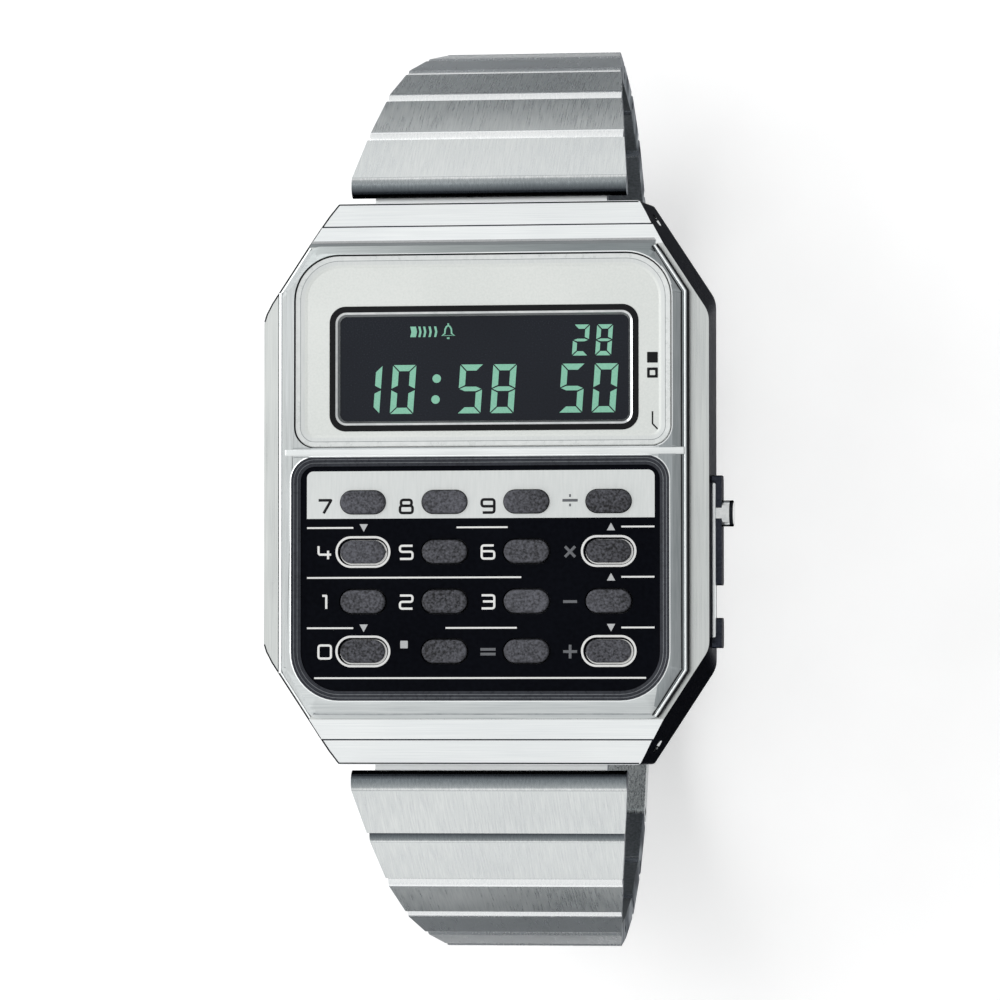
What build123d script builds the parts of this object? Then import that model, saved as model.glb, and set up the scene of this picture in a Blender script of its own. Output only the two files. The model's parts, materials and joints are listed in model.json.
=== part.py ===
from build123d import *
import os
from math import asin, cos, degrees, radians, sin

os.makedirs("parts", exist_ok=True)

# Millimetres and degrees. The watch stands on the flat outer face of its closed clasp, at z = 0.
# +Z is the way the dial faces, +Y points to 12 o'clock and +X to the side with the buttons.

# Case outline, seen on the dial
case_length = 43.2
case_width = 34.3
case_corner_run_x = 5.75
case_corner_run_y = 8.8
case_end_width = case_width - 2 * case_corner_run_x
case_side_length = case_length - 2 * case_corner_run_y
foot_corner_run_x = 4.85
foot_corner_run_y = 7.42
foot_end_width = case_width - 2 * foot_corner_run_x
foot_side_length = case_length - 2 * foot_corner_run_y
case_thickness = 8.2
case_side_corner_radius = 2.0
case_end_corner_radius = 0.4
facet_reach = 3.45
facet_break_reach = 1.9
facet_start = case_length / 2 - facet_reach
facet_break = case_length / 2 - facet_break_reach
facet_break_drop = 0.7
facet_end_drop = 1.8
groove_width = 0.22
groove_depth = 0.2

# Walls and the cavity for the module
top_wall = 1.0
side_wall = 2.95
end_wall = 4.4
cavity_corner_inset_x = 1.2
cavity_corner_inset_y = 2.1
cavity_width = case_width - 2 * side_wall
cavity_length = case_length - 2 * end_wall
cavity_end_width = case_end_width - 2 * cavity_corner_inset_x
cavity_side_length = case_side_length - 2 * cavity_corner_inset_y
overrun = 2.0
slide_gap = 0.1
pin_gap = 0.05
seat_gap = 0.05

# Bezel plate with its two windows
bezel_thickness = 1.0
bezel_side_step = 1.5
bezel_end_step = 3.5
bezel_corner_run_x = 2.35
bezel_corner_run_y = 3.6
bezel_width = case_width - 2 * bezel_side_step
bezel_length = case_length - 2 * bezel_end_step
bezel_end_width = bezel_width - 2 * bezel_corner_run_x
bezel_side_length = bezel_length - 2 * bezel_corner_run_y
bezel_corner_radius = 1.2
bezel_slope_width = 0.75
bezel_slope_drop = 0.4
divider_y = 2.25
divider_height = 0.7
bezel_side_rim = 1.25
bezel_top_rim = 0.8
bezel_bottom_rim = 1.4
display_window_width = bezel_width - 2 * bezel_side_rim
display_window_top = bezel_length / 2 - bezel_top_rim
display_window_bottom = divider_y + divider_height / 2
display_window_upper_radius = 3.5
display_window_lower_radius = 1.6
display_window_sink = 0.15
key_window_inset = 0.1
key_window_width = display_window_width - 2 * key_window_inset
key_window_top = divider_y - divider_height / 2
key_window_bottom = bezel_bottom_rim - bezel_length / 2
key_window_upper_radius = 1.8
key_window_lower_radius = 3.7
panel_sink = 0.3
window_fit = 0.05

# Display
mask_side = 2.7
mask_top = 3.9
mask_bottom = 1.3
view_width = display_window_width - 2 * mask_side
view_top = display_window_top - mask_top
view_bottom = display_window_bottom + mask_bottom
view_height = view_top - view_bottom
view_centre_y = (view_top + view_bottom) / 2
lcd_side_margin = 0.2
lcd_end_margin = 0.75
lcd_width = view_width + 2 * lcd_side_margin
lcd_height = view_height + 2 * lcd_end_margin
lcd_thickness = 1.1
connector_inset = 0.9
connector_edge_gap = 0.1
connector_thickness = 1.2
connector_width = lcd_width - 2 * connector_inset
connector_pitch = lcd_height - connector_thickness - 2 * connector_edge_gap

# Keys: four columns and four rows of rounded bars, spread over the key window
key_columns = 4
key_rows = 4
key_margin = 1.7
key_pitch_x = (key_window_width - 2 * key_margin) / key_columns
key_pitch_y = (key_window_top - key_window_bottom - 2 * key_margin) / key_rows
key_length_share = 0.548
key_height_share = 0.46
key_length = key_length_share * key_pitch_x
key_height = key_height_share * key_pitch_y
key_grid_centre_x = 0.1
key_grid_rise = 0.14
key_grid_centre_y = (key_window_top + key_window_bottom) / 2 + key_grid_rise
key_proud = 0.3
key_travel = 0.4
key_hole_gap = 0.12
key_flange_rim = 0.3
key_flange_thickness = 0.55
key_plunger_radius = 0.6
key_plunger_drop = 0.8
key_edge_radius = 0.15
key_well_margin = 1.2
key_well_width = key_pitch_x * (key_columns - 1) + key_length + 2 * key_well_margin
key_well_height = key_pitch_y * (key_rows - 1) + key_height + 2 * key_well_margin

# Module
mat_thickness = 0.8
mat_inset = 0.7
mat_width = key_well_width - 2 * mat_inset
mat_height = key_well_height - 2 * mat_inset
frame_gap = 0.6
frame_wall = 1.3
frame_web_bottom = 2.3
frame_height = 4.6
board_thickness = 0.6
battery_radius = 10.0
battery_thickness = 1.6
battery_y = -3.0
battery_edge_radius = 0.3
buzzer_radius = 8.0
buzzer_thickness = 0.25

# Back
back_cover_thickness = 1.0
back_rim = 0.6
back_end_step = 3.5
back_length = case_length - 2 * back_end_step
back_edge_radius = 0.3
gasket_offset = 0.25
gasket_width = 0.6
gasket_thickness = 0.7
screw_inset_x = 3.85
screw_inset_y = 2.6
screw_x = case_width / 2 - screw_inset_x
screw_y = back_length / 2 - screw_inset_y
screw_radius = 0.6
screw_head_radius = 0.9
screw_head_height = 0.55
screw_length = 4.0
screw_slot_width = 0.3
screw_slot_depth = 0.25

# Buttons on the right flank, placed from the lower end of its straight part
button_drop = 4.2
adjust_button_rise = 3.7
adjust_button_y = adjust_button_rise - case_side_length / 2
adjust_button_radius = 0.8
adjust_button_sink = 0.15
button_pitch = 6.7
mode_button_y = adjust_button_y + button_pitch
mode_button_radius = 1.0
mode_button_proud = 0.85
boss_proud = 0.75
boss_top_rise = 2.9
boss_bottom_rise = 1.2
lobe_top_drop = 1.3
lobe_bottom_drop = 3.6
boss_top = mode_button_y + boss_top_rise
boss_bottom = adjust_button_y + boss_bottom_rise
lobe_top = adjust_button_y - lobe_top_drop
lobe_bottom = adjust_button_y - lobe_bottom_drop
boss_height = 1.9
boss_edge_radius = 0.4
button_travel = 0.6
button_head_length = 2.15
button_stem_radius = 0.55
button_reach = 0.45
button_edge_radius = 0.2
clip_thickness = 0.25
clip_radius = 0.95
contact_thickness = 0.13
contact_length = 3.0
contact_height = 1.6

# Lug: the slot in each end of the case and the spring bar across it
lug_inset = 1.4
lug_y = case_length / 2 - lug_inset
lug_drop = 4.6
lug_cheek = 2.2
lug_slot_width = case_end_width - 2 * lug_cheek
lug_slot_roof = 3.3
lug_barrel_radius = 1.1
lug_side_gap = 0.2
lug_barrel_width = lug_slot_width - 2 * lug_side_gap
bar_radius = 0.75
bar_tip_radius = 0.4
bar_tip_length = 1.5
bar_shoulder_gap = 0.2

# Bracelet links
link_pitch = 6.2
link_half_thickness = 0.9
link_count = 10
band_shoulder = 1.65
band_taper = 3.85
band_start_width = lug_barrel_width + 2 * band_shoulder
band_end_width = band_start_width - 2 * band_taper
band_taper_steps = 5.5
link_end_gap = 0.15
tongue_share = 0.55
tongue_radius = 0.58
tongue_side_gap = 0.15
tongue_top = -0.12
tongue_bottom = -0.78
slot_back_gap = 0.1
link_pin_radius = 0.3
link_pin_inset = 0.5
knuckle_out = 2.75
knuckle_rise = 1.1
neck_top = 0.3
neck_bottom = -0.8
tube_radius = 1.0

# Bends of the closed band, from the case to the clasp
first_heading = 50.0
upper_bends = (5.5, 10.5, 9.0, 5.0, 13.0)
lower_bend = 14.0

# Folding clasp, from its outer face inwards
clasp_pin_height = 2.9
cover_length = 34.0
cover_thickness = 0.7
cover_wall = 0.5
cover_wall_height = 4.3
cover_edge_radius = 0.3
cover_side_gap = 0.15
ear_reach = 1.2
ear_radius = 1.2
tube_gap = 0.4
blade_gap = 0.3
blade_thickness = 0.6
blade_inset = 1.0
blade_width = band_end_width - 2 * blade_inset
blade_barrel_radius = 0.7
blade_window_length = 6.4
blade_window_width = 5.0
blade_window_pitch = 9.0
blade_hinge_inset = 1.3
slider_hinge_inset = 6.0
clasp_pin_radius = 0.4
slider_plate_gap = 0.3
slider_plate = 0.5
slider_wall = 0.4
slider_side_gap = 0.15
slider_length = 8.3
slider_wall_top = 6.0
tail_gap = 0.2
tail_links = 5
lock_thickness = 0.6
lock_length = 5.6
lock_barrel_radius = 0.5
lock_nib_radius = 0.3
lock_gap = 0.1
lock_hinge_inset = 3.3

# Levels above the floor, worked out from the closed band
slab_headings = [first_heading]
for bend in upper_bends:
    slab_headings.append(slab_headings[-1] + bend)
while len(slab_headings) < link_count:
    slab_headings.append(slab_headings[-1] + lower_bend)
band_drop = sum(link_pitch * sin(radians(heading)) for heading in slab_headings)
face_z = clasp_pin_height + band_drop + lug_drop - knuckle_rise
case_top = face_z - bezel_thickness
case_bottom = face_z - case_thickness + back_cover_thickness
ceiling = case_top - top_wall
lug_z = face_z - lug_drop
button_z = face_z - button_drop

# Pin places of one side of the band, as (distance from the middle, height)
pin_places = [(lug_y + knuckle_out, lug_z + knuckle_rise)]
for heading in slab_headings:
    out, up = pin_places[-1]
    pin_places.append(
        (out + link_pitch * cos(radians(heading)), up - link_pitch * sin(radians(heading)))
    )


def octagon_points(width, length, end_width, side_length):
    corner = [
        (end_width / 2, length / 2),
        (width / 2, side_length / 2),
        (width / 2, -side_length / 2),
        (end_width / 2, -length / 2),
    ]
    return corner + [(-x, y) for x, y in reversed(corner)]


def case_outline(end_width, side_length):
    # the case's outline, with small corners at the ends and larger ones at the sides
    with BuildSketch(mode=Mode.PRIVATE) as outline:
        Polygon(*octagon_points(case_width, case_length, end_width, side_length), align=None)
        end_corners = outline.vertices().group_by(Axis.Y)
        fillet(end_corners[0] + end_corners[-1], radius=case_end_corner_radius)
        side_corners = outline.vertices().group_by(Axis.X)
        fillet(side_corners[0] + side_corners[-1], radius=case_side_corner_radius)
    return outline.sketch


def cavity_outline(inset):
    # the cavity's outline, moved inwards by the inset
    with BuildSketch(mode=Mode.PRIVATE) as outline:
        Polygon(
            *octagon_points(cavity_width, cavity_length, cavity_end_width, cavity_side_length),
            align=None,
        )
        if inset:
            offset(amount=-inset, kind=Kind.INTERSECTION)
    return outline.sketch


def window_outline(width, top, bottom, upper_radius, lower_radius, gap):
    # a window with larger corners at one end, made smaller all round by the gap
    with BuildSketch(mode=Mode.PRIVATE) as outline:
        with Locations((0, (top + bottom) / 2)):
            Rectangle(width - 2 * gap, top - bottom - 2 * gap)
        fillet(outline.vertices().group_by(Axis.Y)[-1], radius=upper_radius - gap)
        fillet(outline.vertices().group_by(Axis.Y)[0], radius=lower_radius - gap)
    return outline.sketch


def display_outline(gap):
    return window_outline(
        display_window_width,
        display_window_top,
        display_window_bottom,
        display_window_upper_radius,
        display_window_lower_radius,
        gap,
    )


def keypad_outline(gap):
    return window_outline(
        key_window_width,
        key_window_top,
        key_window_bottom,
        key_window_upper_radius,
        key_window_lower_radius,
        gap,
    )


def save(part, name):
    part.label = name
    export_step(part, f"parts/{name}.step")


key_places = [
    (
        key_grid_centre_x + key_pitch_x * (column - (key_columns - 1) / 2),
        key_grid_centre_y - key_pitch_y * (row - (key_rows - 1) / 2),
    )
    for row in range(key_rows)
    for column in range(key_columns)
]
key_names = [
    "key_7", "key_8", "key_9", "key_divide",
    "key_4", "key_5", "key_6", "key_times",
    "key_1", "key_2", "key_3", "key_minus",
    "key_0", "key_point", "key_equals", "key_plus",
]

# Case body
flank_x = case_width / 2
boss_x = flank_x + boss_proud
cavity_x = cavity_width / 2
with BuildPart() as case_body:
    # the corner flanks lean outwards towards the back
    with BuildSketch(Plane.XY.offset(case_bottom)):
        add(case_outline(foot_end_width, foot_side_length))
    with BuildSketch(Plane.XY.offset(case_top)):
        add(case_outline(case_end_width, case_side_length))
    loft(ruled=True)
    # sloping facets at both ends, with a fine groove along the break
    with BuildSketch(Plane.YZ.offset(-flank_x - overrun)):
        for side in (1, -1):
            Polygon(
                (side * facet_start, case_top),
                (side * facet_break, case_top - facet_break_drop),
                (side * case_length / 2, case_top - facet_end_drop),
                (side * (case_length / 2 + overrun), case_top - facet_end_drop),
                (side * (case_length / 2 + overrun), case_top + overrun),
                (side * facet_start, case_top + overrun),
                align=None,
            )
    extrude(amount=case_width + 2 * overrun, mode=Mode.SUBTRACT)
    with Locations(
        *[(0, side * facet_break, case_top - facet_break_drop) for side in (1, -1)]
    ):
        Box(case_width, groove_width, 2 * groove_depth, mode=Mode.SUBTRACT)
    # raised boss beside the buttons
    with BuildSketch(Plane.YZ.offset(flank_x - overrun)):
        for upper_y, lower_y in ((boss_top, boss_bottom), (lobe_top, lobe_bottom)):
            with Locations(((upper_y + lower_y) / 2, button_z)):
                RectangleRounded(upper_y - lower_y, boss_height, boss_edge_radius)
    extrude(amount=overrun + boss_proud)
    # cavity, and the openings for the display and the keys
    with BuildSketch(Plane.XY.offset(case_bottom)):
        add(cavity_outline(0))
    extrude(amount=ceiling - case_bottom, mode=Mode.SUBTRACT)
    with BuildSketch(Plane.XY.offset(ceiling)):
        with Locations((0, view_centre_y)):
            Rectangle(view_width, view_height)
        with Locations((key_grid_centre_x, key_grid_centre_y)):
            Rectangle(key_well_width, key_well_height)
    extrude(amount=top_wall, mode=Mode.SUBTRACT)
    # seat of the back gasket
    with BuildSketch(Plane.XY.offset(case_bottom)):
        add(cavity_outline(-gasket_offset - gasket_width - window_fit))
        add(cavity_outline(-gasket_offset + window_fit), mode=Mode.SUBTRACT)
    extrude(amount=gasket_thickness, mode=Mode.SUBTRACT)
    # slots for the first links, and the holes of their spring bars
    slot_inner_y = lug_y - lug_barrel_radius - bar_shoulder_gap
    with BuildSketch(Plane.XY.offset(face_z - lug_slot_roof)):
        for side in (1, -1):
            with Locations((0, side * (slot_inner_y + case_length / 2 + overrun) / 2)):
                Rectangle(lug_slot_width, case_length / 2 + overrun - slot_inner_y)
    extrude(amount=case_bottom - face_z + lug_slot_roof, mode=Mode.SUBTRACT)
    with Locations(*[Location((0, side * lug_y, lug_z), (0, 90, 0)) for side in (1, -1)]):
        Cylinder(bar_tip_radius + pin_gap, case_width, mode=Mode.SUBTRACT)
    # button holes, each with a wider bore for the head
    for place_y, head_radius, head_end in (
        (mode_button_y, mode_button_radius, boss_x + mode_button_proud),
        (adjust_button_y, adjust_button_radius, flank_x - adjust_button_sink),
    ):
        bore_floor = head_end - button_head_length - button_travel - slide_gap
        with BuildSketch(Plane.YZ.offset(cavity_x - overrun)):
            with Locations((place_y, button_z)):
                Circle(button_stem_radius + pin_gap)
        extrude(amount=boss_x + overrun - cavity_x + overrun, mode=Mode.SUBTRACT)
        with BuildSketch(Plane.YZ.offset(bore_floor)):
            with Locations((place_y, button_z)):
                Circle(head_radius + pin_gap)
        extrude(amount=boss_x + overrun - bore_floor, mode=Mode.SUBTRACT)
    # screw holes in the back
    with BuildSketch(Plane.XY.offset(case_bottom)):
        with GridLocations(2 * screw_x, 2 * screw_y, 2, 2):
            Circle(screw_radius + pin_gap)
    extrude(amount=screw_length, mode=Mode.SUBTRACT)
save(case_body.part, "case_body")

# Front bezel, with its rails sloping down outwards
with BuildPart() as front_bezel:
    with BuildSketch(Plane.XY.offset(case_top)) as bezel_outline:
        Polygon(
            *octagon_points(bezel_width, bezel_length, bezel_end_width, bezel_side_length),
            align=None,
        )
        fillet(bezel_outline.vertices(), radius=bezel_corner_radius)
        add(display_outline(0), mode=Mode.SUBTRACT)
        add(keypad_outline(0), mode=Mode.SUBTRACT)
    extrude(amount=bezel_thickness)
    outer_edges = front_bezel.faces().sort_by(Axis.Z)[-1].outer_wire().edges()
    top_face = front_bezel.faces().sort_by(Axis.Z)[-1]
    chamfer(outer_edges, length=bezel_slope_width, length2=bezel_slope_drop, reference=top_face)
save(front_bezel.part, "front_bezel")

# Display window
with BuildPart() as display_window:
    with BuildSketch(Plane.XY.offset(case_top)):
        add(display_outline(window_fit))
    extrude(amount=bezel_thickness - display_window_sink)
save(display_window.part, "display_window")

# Keypad panel with a hole for each key
panel_top = face_z - panel_sink
with BuildPart() as keypad_panel:
    with BuildSketch(Plane.XY.offset(case_top)):
        add(keypad_outline(window_fit))
        with Locations(*key_places):
            SlotOverall(key_length + 2 * key_hole_gap, key_height + 2 * key_hole_gap, mode=Mode.SUBTRACT)
    extrude(amount=panel_top - case_top)
save(keypad_panel.part, "keypad_panel")

# Keys: a rounded bar, a flange that stops under the panel and a plunger over the mat
key_top = panel_top + key_proud
flange_top = case_top - seat_gap
flange_bottom = flange_top - key_flange_thickness
plunger_bottom = flange_bottom - key_plunger_drop
for name, place in zip(key_names, key_places):
    with BuildPart() as key:
        with BuildSketch(Plane.XY.offset(flange_bottom)):
            with Locations(place):
                SlotOverall(key_length, key_height)
        extrude(amount=key_top - flange_bottom)
        fillet(key.faces().sort_by(Axis.Z)[-1].edges(), radius=key_edge_radius)
        with BuildSketch(Plane.XY.offset(flange_bottom)):
            with Locations(place):
                SlotOverall(key_length + 2 * key_flange_rim, key_height + 2 * key_flange_rim)
        extrude(amount=key_flange_thickness)
        with BuildSketch(Plane.XY.offset(plunger_bottom)):
            with Locations(place):
                Circle(key_plunger_radius)
        extrude(amount=key_plunger_drop)
    save(key.part, name)

# Display glass, right under the case's top wall
lcd_bottom = ceiling - lcd_thickness
with BuildPart() as lcd_glass:
    with BuildSketch(Plane.XY.offset(lcd_bottom)):
        with Locations((0, view_centre_y)):
            Rectangle(lcd_width, lcd_height)
    extrude(amount=lcd_thickness)
save(lcd_glass.part, "lcd_glass")

# Module frame: a tray with pockets above and below a web
mat_top = plunger_bottom - key_travel - seat_gap
mat_bottom = mat_top - mat_thickness
frame_top = ceiling
frame_bottom = frame_top - frame_height
web_bottom = frame_top - frame_web_bottom
pusher_side_x = cavity_x - frame_gap - frame_wall / 2
with BuildPart() as module_frame:
    with BuildSketch(Plane.XY.offset(frame_bottom)):
        add(cavity_outline(frame_gap))
    extrude(amount=frame_height)
    with BuildSketch(Plane.XY.offset(lcd_bottom)):
        with Locations((0, view_centre_y)):
            Rectangle(lcd_width + 2 * window_fit, lcd_height + 2 * window_fit)
    extrude(amount=frame_top - lcd_bottom, mode=Mode.SUBTRACT)
    with BuildSketch(Plane.XY.offset(mat_bottom)):
        with Locations((key_grid_centre_x, key_grid_centre_y)):
            Rectangle(mat_width + 2 * window_fit, mat_height + 2 * window_fit)
    extrude(amount=frame_top - mat_bottom, mode=Mode.SUBTRACT)
    with BuildSketch(Plane.XY.offset(frame_bottom)):
        add(cavity_outline(frame_gap + frame_wall))
    extrude(amount=web_bottom - frame_bottom, mode=Mode.SUBTRACT)
    with BuildSketch(Plane.XY.offset(web_bottom)):
        with Locations((0, view_centre_y)):
            with GridLocations(0, connector_pitch, 1, 2):
                Rectangle(connector_width + 2 * window_fit, connector_thickness + 2 * window_fit)
    extrude(amount=lcd_bottom - web_bottom, mode=Mode.SUBTRACT)
    # room at the side for the inner ends of the push buttons
    with BuildSketch(Plane.XY.offset(frame_bottom)):
        with Locations((pusher_side_x + overrun / 2, (mode_button_y + adjust_button_y) / 2)):
            Rectangle(overrun, mode_button_y - adjust_button_y + contact_length + 2 * slide_gap)
    extrude(amount=frame_height, mode=Mode.SUBTRACT)
save(module_frame.part, "module_frame")

# Keypad mat
with BuildPart() as keypad_mat:
    with BuildSketch(Plane.XY.offset(mat_bottom)):
        with Locations((key_grid_centre_x, key_grid_centre_y)):
            Rectangle(mat_width, mat_height)
    extrude(amount=mat_thickness)
save(keypad_mat.part, "keypad_mat")

# Circuit board under the web
with BuildPart() as circuit_board:
    with BuildSketch(Plane.XY.offset(web_bottom - board_thickness)):
        add(cavity_outline(frame_gap + frame_wall + window_fit))
    extrude(amount=board_thickness)
save(circuit_board.part, "circuit_board")

# Two connector strips between the board and the display
with BuildPart() as connector_strips:
    with BuildSketch(Plane.XY.offset(web_bottom)):
        with Locations((0, view_centre_y)):
            with GridLocations(0, connector_pitch, 1, 2):
                Rectangle(connector_width, connector_thickness)
    extrude(amount=lcd_bottom - web_bottom)
save(connector_strips.part, "connector_strips")

# Battery
with BuildPart() as battery:
    with BuildSketch(Plane.XY.offset(web_bottom - board_thickness - battery_thickness)):
        with Locations((0, battery_y)):
            Circle(battery_radius)
    extrude(amount=battery_thickness)
    fillet(battery.edges().filter_by(GeomType.CIRCLE), radius=battery_edge_radius)
save(battery.part, "battery")

# Side contacts: two leaf springs that the push buttons reach
with BuildPart() as side_contacts:
    with BuildSketch(Plane.YZ.offset(pusher_side_x)):
        with Locations((mode_button_y, button_z), (adjust_button_y, button_z)):
            Rectangle(contact_length, contact_height)
    extrude(amount=contact_thickness)
save(side_contacts.part, "side_contacts")

# Buzzer disc on the inside of the back cover
with BuildPart() as buzzer:
    with BuildSketch(Plane.XY.offset(case_bottom)):
        Circle(buzzer_radius)
    extrude(amount=buzzer_thickness)
save(buzzer.part, "buzzer")

# Back gasket
with BuildPart() as back_gasket:
    with BuildSketch(Plane.XY.offset(case_bottom)):
        add(cavity_outline(-gasket_offset - gasket_width))
        add(cavity_outline(-gasket_offset), mode=Mode.SUBTRACT)
    extrude(amount=gasket_thickness - seat_gap)
save(back_gasket.part, "back_gasket")

# Back cover, as wide as the case less a rim, with a recess for each screw head
back_bottom = case_bottom - back_cover_thickness
with BuildPart() as back_cover:
    with BuildSketch(Plane.XY.offset(back_bottom)) as back_outline:
        Polygon(
            *octagon_points(case_width, case_length, foot_end_width, foot_side_length),
            align=None,
        )
        offset(amount=-back_rim, kind=Kind.INTERSECTION)
        Rectangle(case_width, back_length, mode=Mode.INTERSECT)
        fillet(back_outline.vertices(), radius=bezel_corner_radius)
    extrude(amount=back_cover_thickness)
    fillet(back_cover.faces().sort_by(Axis.Z)[0].edges(), radius=back_edge_radius)
    with BuildSketch(Plane.XY.offset(back_bottom)):
        with GridLocations(2 * screw_x, 2 * screw_y, 2, 2):
            Circle(screw_head_radius + pin_gap)
    extrude(amount=screw_head_height, mode=Mode.SUBTRACT)
    with BuildSketch(Plane.XY.offset(back_bottom)):
        with GridLocations(2 * screw_x, 2 * screw_y, 2, 2):
            Circle(screw_radius + pin_gap)
    extrude(amount=back_cover_thickness, mode=Mode.SUBTRACT)
save(back_cover.part, "back_cover")

# Back screws with slotted heads
with BuildPart() as back_screws:
    with BuildSketch(Plane.XY.offset(back_bottom)):
        with GridLocations(2 * screw_x, 2 * screw_y, 2, 2):
            Circle(screw_radius)
    extrude(amount=screw_length)
    with BuildSketch(Plane.XY.offset(back_bottom + seat_gap)):
        with GridLocations(2 * screw_x, 2 * screw_y, 2, 2):
            Circle(screw_head_radius)
    extrude(amount=screw_head_height - seat_gap)
    with BuildSketch(Plane.XY.offset(back_bottom)):
        with GridLocations(2 * screw_x, 2 * screw_y, 2, 2):
            Rectangle(2 * screw_head_radius + slide_gap, screw_slot_width)
    extrude(amount=screw_slot_depth, mode=Mode.SUBTRACT)
save(back_screws.part, "back_screws")

# Spring bars of the lugs, with their tips in the case
bar_length = lug_barrel_width
with BuildPart() as lug_spring_bars:
    with Locations(*[Location((0, side * lug_y, lug_z), (0, 90, 0)) for side in (1, -1)]):
        Cylinder(bar_radius, bar_length)
        Cylinder(bar_tip_radius, bar_length + 2 * bar_tip_length)
save(lug_spring_bars.part, "lug_spring_bars")

# Push buttons: head, stem and the clip that holds the stem from inside
for name, place_y, head_radius, head_end in (
    ("mode_button", mode_button_y, mode_button_radius, boss_x + mode_button_proud),
    ("adjust_button", adjust_button_y, adjust_button_radius, flank_x - adjust_button_sink),
):
    stem_end = cavity_x - button_reach
    with BuildPart() as button:
        with BuildSketch(Plane.YZ.offset(head_end - button_head_length)):
            with Locations((place_y, button_z)):
                Circle(head_radius)
        extrude(amount=button_head_length)
        fillet(
            button.faces().sort_by(Axis.X)[-1].edges(),
            radius=button_edge_radius,
        )
        with BuildSketch(Plane.YZ.offset(stem_end)):
            with Locations((place_y, button_z)):
                Circle(button_stem_radius)
        extrude(amount=head_end - button_head_length - stem_end)
        with BuildSketch(Plane.YZ.offset(cavity_x - slide_gap - clip_thickness)):
            with Locations((place_y, button_z)):
                Circle(clip_radius)
                Circle(button_stem_radius + pin_gap, mode=Mode.SUBTRACT)
        extrude(amount=clip_thickness)
    save(button.part, name)


def band_width(step):
    # the band narrows evenly over its first links, then keeps its width
    narrowed = min(step, band_taper_steps) / band_taper_steps
    return band_start_width - (band_start_width - band_end_width) * narrowed


def profile_plane(side, place, heading):
    # side view of the band: x runs along the link, y points out of the ring
    out, up = place
    turn = radians(heading)
    return Plane(
        origin=(0, side * out, up),
        x_dir=(0, side * cos(turn), -sin(turn)),
        z_dir=(side, 0, 0),
    )


def plan_plane(side, place, heading):
    # top view of the band: x runs along the link
    out, up = place
    turn = radians(heading)
    return Plane(
        origin=(0, side * out, up),
        x_dir=(0, side * cos(turn), -sin(turn)),
        z_dir=(0, side * sin(turn), cos(turn)),
    )


def band_link(side, place, heading, step, near="slot", far="tongue"):
    # one link: near its case end a slot with a pin, or a plain end with a neck to the lug;
    # at its other end a tongue for the next link, a tube for a spring bar, or nothing
    near_width = band_width(step)
    far_width = band_width(step + 1)
    half = link_half_thickness
    slab_end = link_pitch - half - link_end_gap
    reach = slab_end if far != "tube" else link_pitch
    side_view = profile_plane(side, place, heading)
    slot_width = tongue_share * near_width + 2 * tongue_side_gap
    with BuildPart() as link:
        with BuildSketch(side_view):
            Circle(half)
            with Locations((reach / 2, 0)):
                Rectangle(reach, 2 * half)
            if far == "tube":
                with Locations((link_pitch, 0)):
                    Circle(tube_radius)
        extrude(amount=near_width / 2, both=True)
        with BuildSketch(plan_plane(side, place, heading)):
            Polygon(
                (-half, near_width / 2),
                (0, near_width / 2),
                (link_pitch, far_width / 2),
                (link_pitch + tube_radius, far_width / 2),
                (link_pitch + tube_radius, -far_width / 2),
                (link_pitch, -far_width / 2),
                (0, -near_width / 2),
                (-half, -near_width / 2),
                align=None,
            )
        extrude(amount=tube_radius, both=True, mode=Mode.INTERSECT)
        if far == "tongue":
            with BuildSketch(side_view):
                with Locations((link_pitch, 0)):
                    Circle(tongue_radius)
                with Locations((slab_end, (tongue_top + tongue_bottom) / 2)):
                    Rectangle(2 * (link_pitch - slab_end), tongue_top - tongue_bottom)
            extrude(amount=tongue_share * far_width / 2, both=True)
            with BuildSketch(side_view):
                with Locations((link_pitch, 0)):
                    Circle(link_pin_radius + pin_gap)
            extrude(amount=near_width / 2, both=True, mode=Mode.SUBTRACT)
        if far == "tube":
            with BuildSketch(side_view):
                with Locations((link_pitch, 0)):
                    Circle(bar_radius + pin_gap)
            extrude(amount=near_width / 2, both=True, mode=Mode.SUBTRACT)
        if near == "slot":
            hollow = tongue_radius + slot_back_gap
            with BuildSketch(side_view):
                Circle(hollow)
                with Locations(((hollow - half - link_end_gap) / 2, -half)):
                    Rectangle(hollow + half + link_end_gap, 2 * half)
            extrude(amount=slot_width / 2, both=True, mode=Mode.SUBTRACT)
            with BuildSketch(side_view):
                Circle(link_pin_radius + pin_gap)
            extrude(amount=near_width / 2, both=True, mode=Mode.SUBTRACT)
            with BuildSketch(side_view):
                Circle(link_pin_radius)
            extrude(amount=near_width / 2 - link_pin_inset, both=True)
        if near == "neck":
            lug_plane = Plane(
                origin=(0, side * lug_y, lug_z), x_dir=(0, side, 0), z_dir=(side, 0, 0)
            )
            with BuildSketch(lug_plane):
                Circle(lug_barrel_radius)
                with Locations((knuckle_out / 2, (neck_top + neck_bottom) / 2)):
                    Rectangle(knuckle_out, neck_top - neck_bottom)
            extrude(amount=lug_barrel_width / 2, both=True)
            with BuildSketch(lug_plane):
                Circle(bar_radius + pin_gap)
            extrude(amount=lug_barrel_width, both=True, mode=Mode.SUBTRACT)
    return link.part


# Links of both sides; the two sides are named for 12 o'clock and 6 o'clock
for side, side_name, own_links in ((1, "12", link_count), (-1, "6", link_count - 1)):
    for index in range(own_links):
        last = index == link_count - 1
        link_part = band_link(
            side,
            pin_places[index],
            slab_headings[index],
            index,
            near="slot" if index else "neck",
            far="tube" if last else "tongue",
        )
        save(link_part, f"link_{side_name}_{index + 1:02d}")

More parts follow.
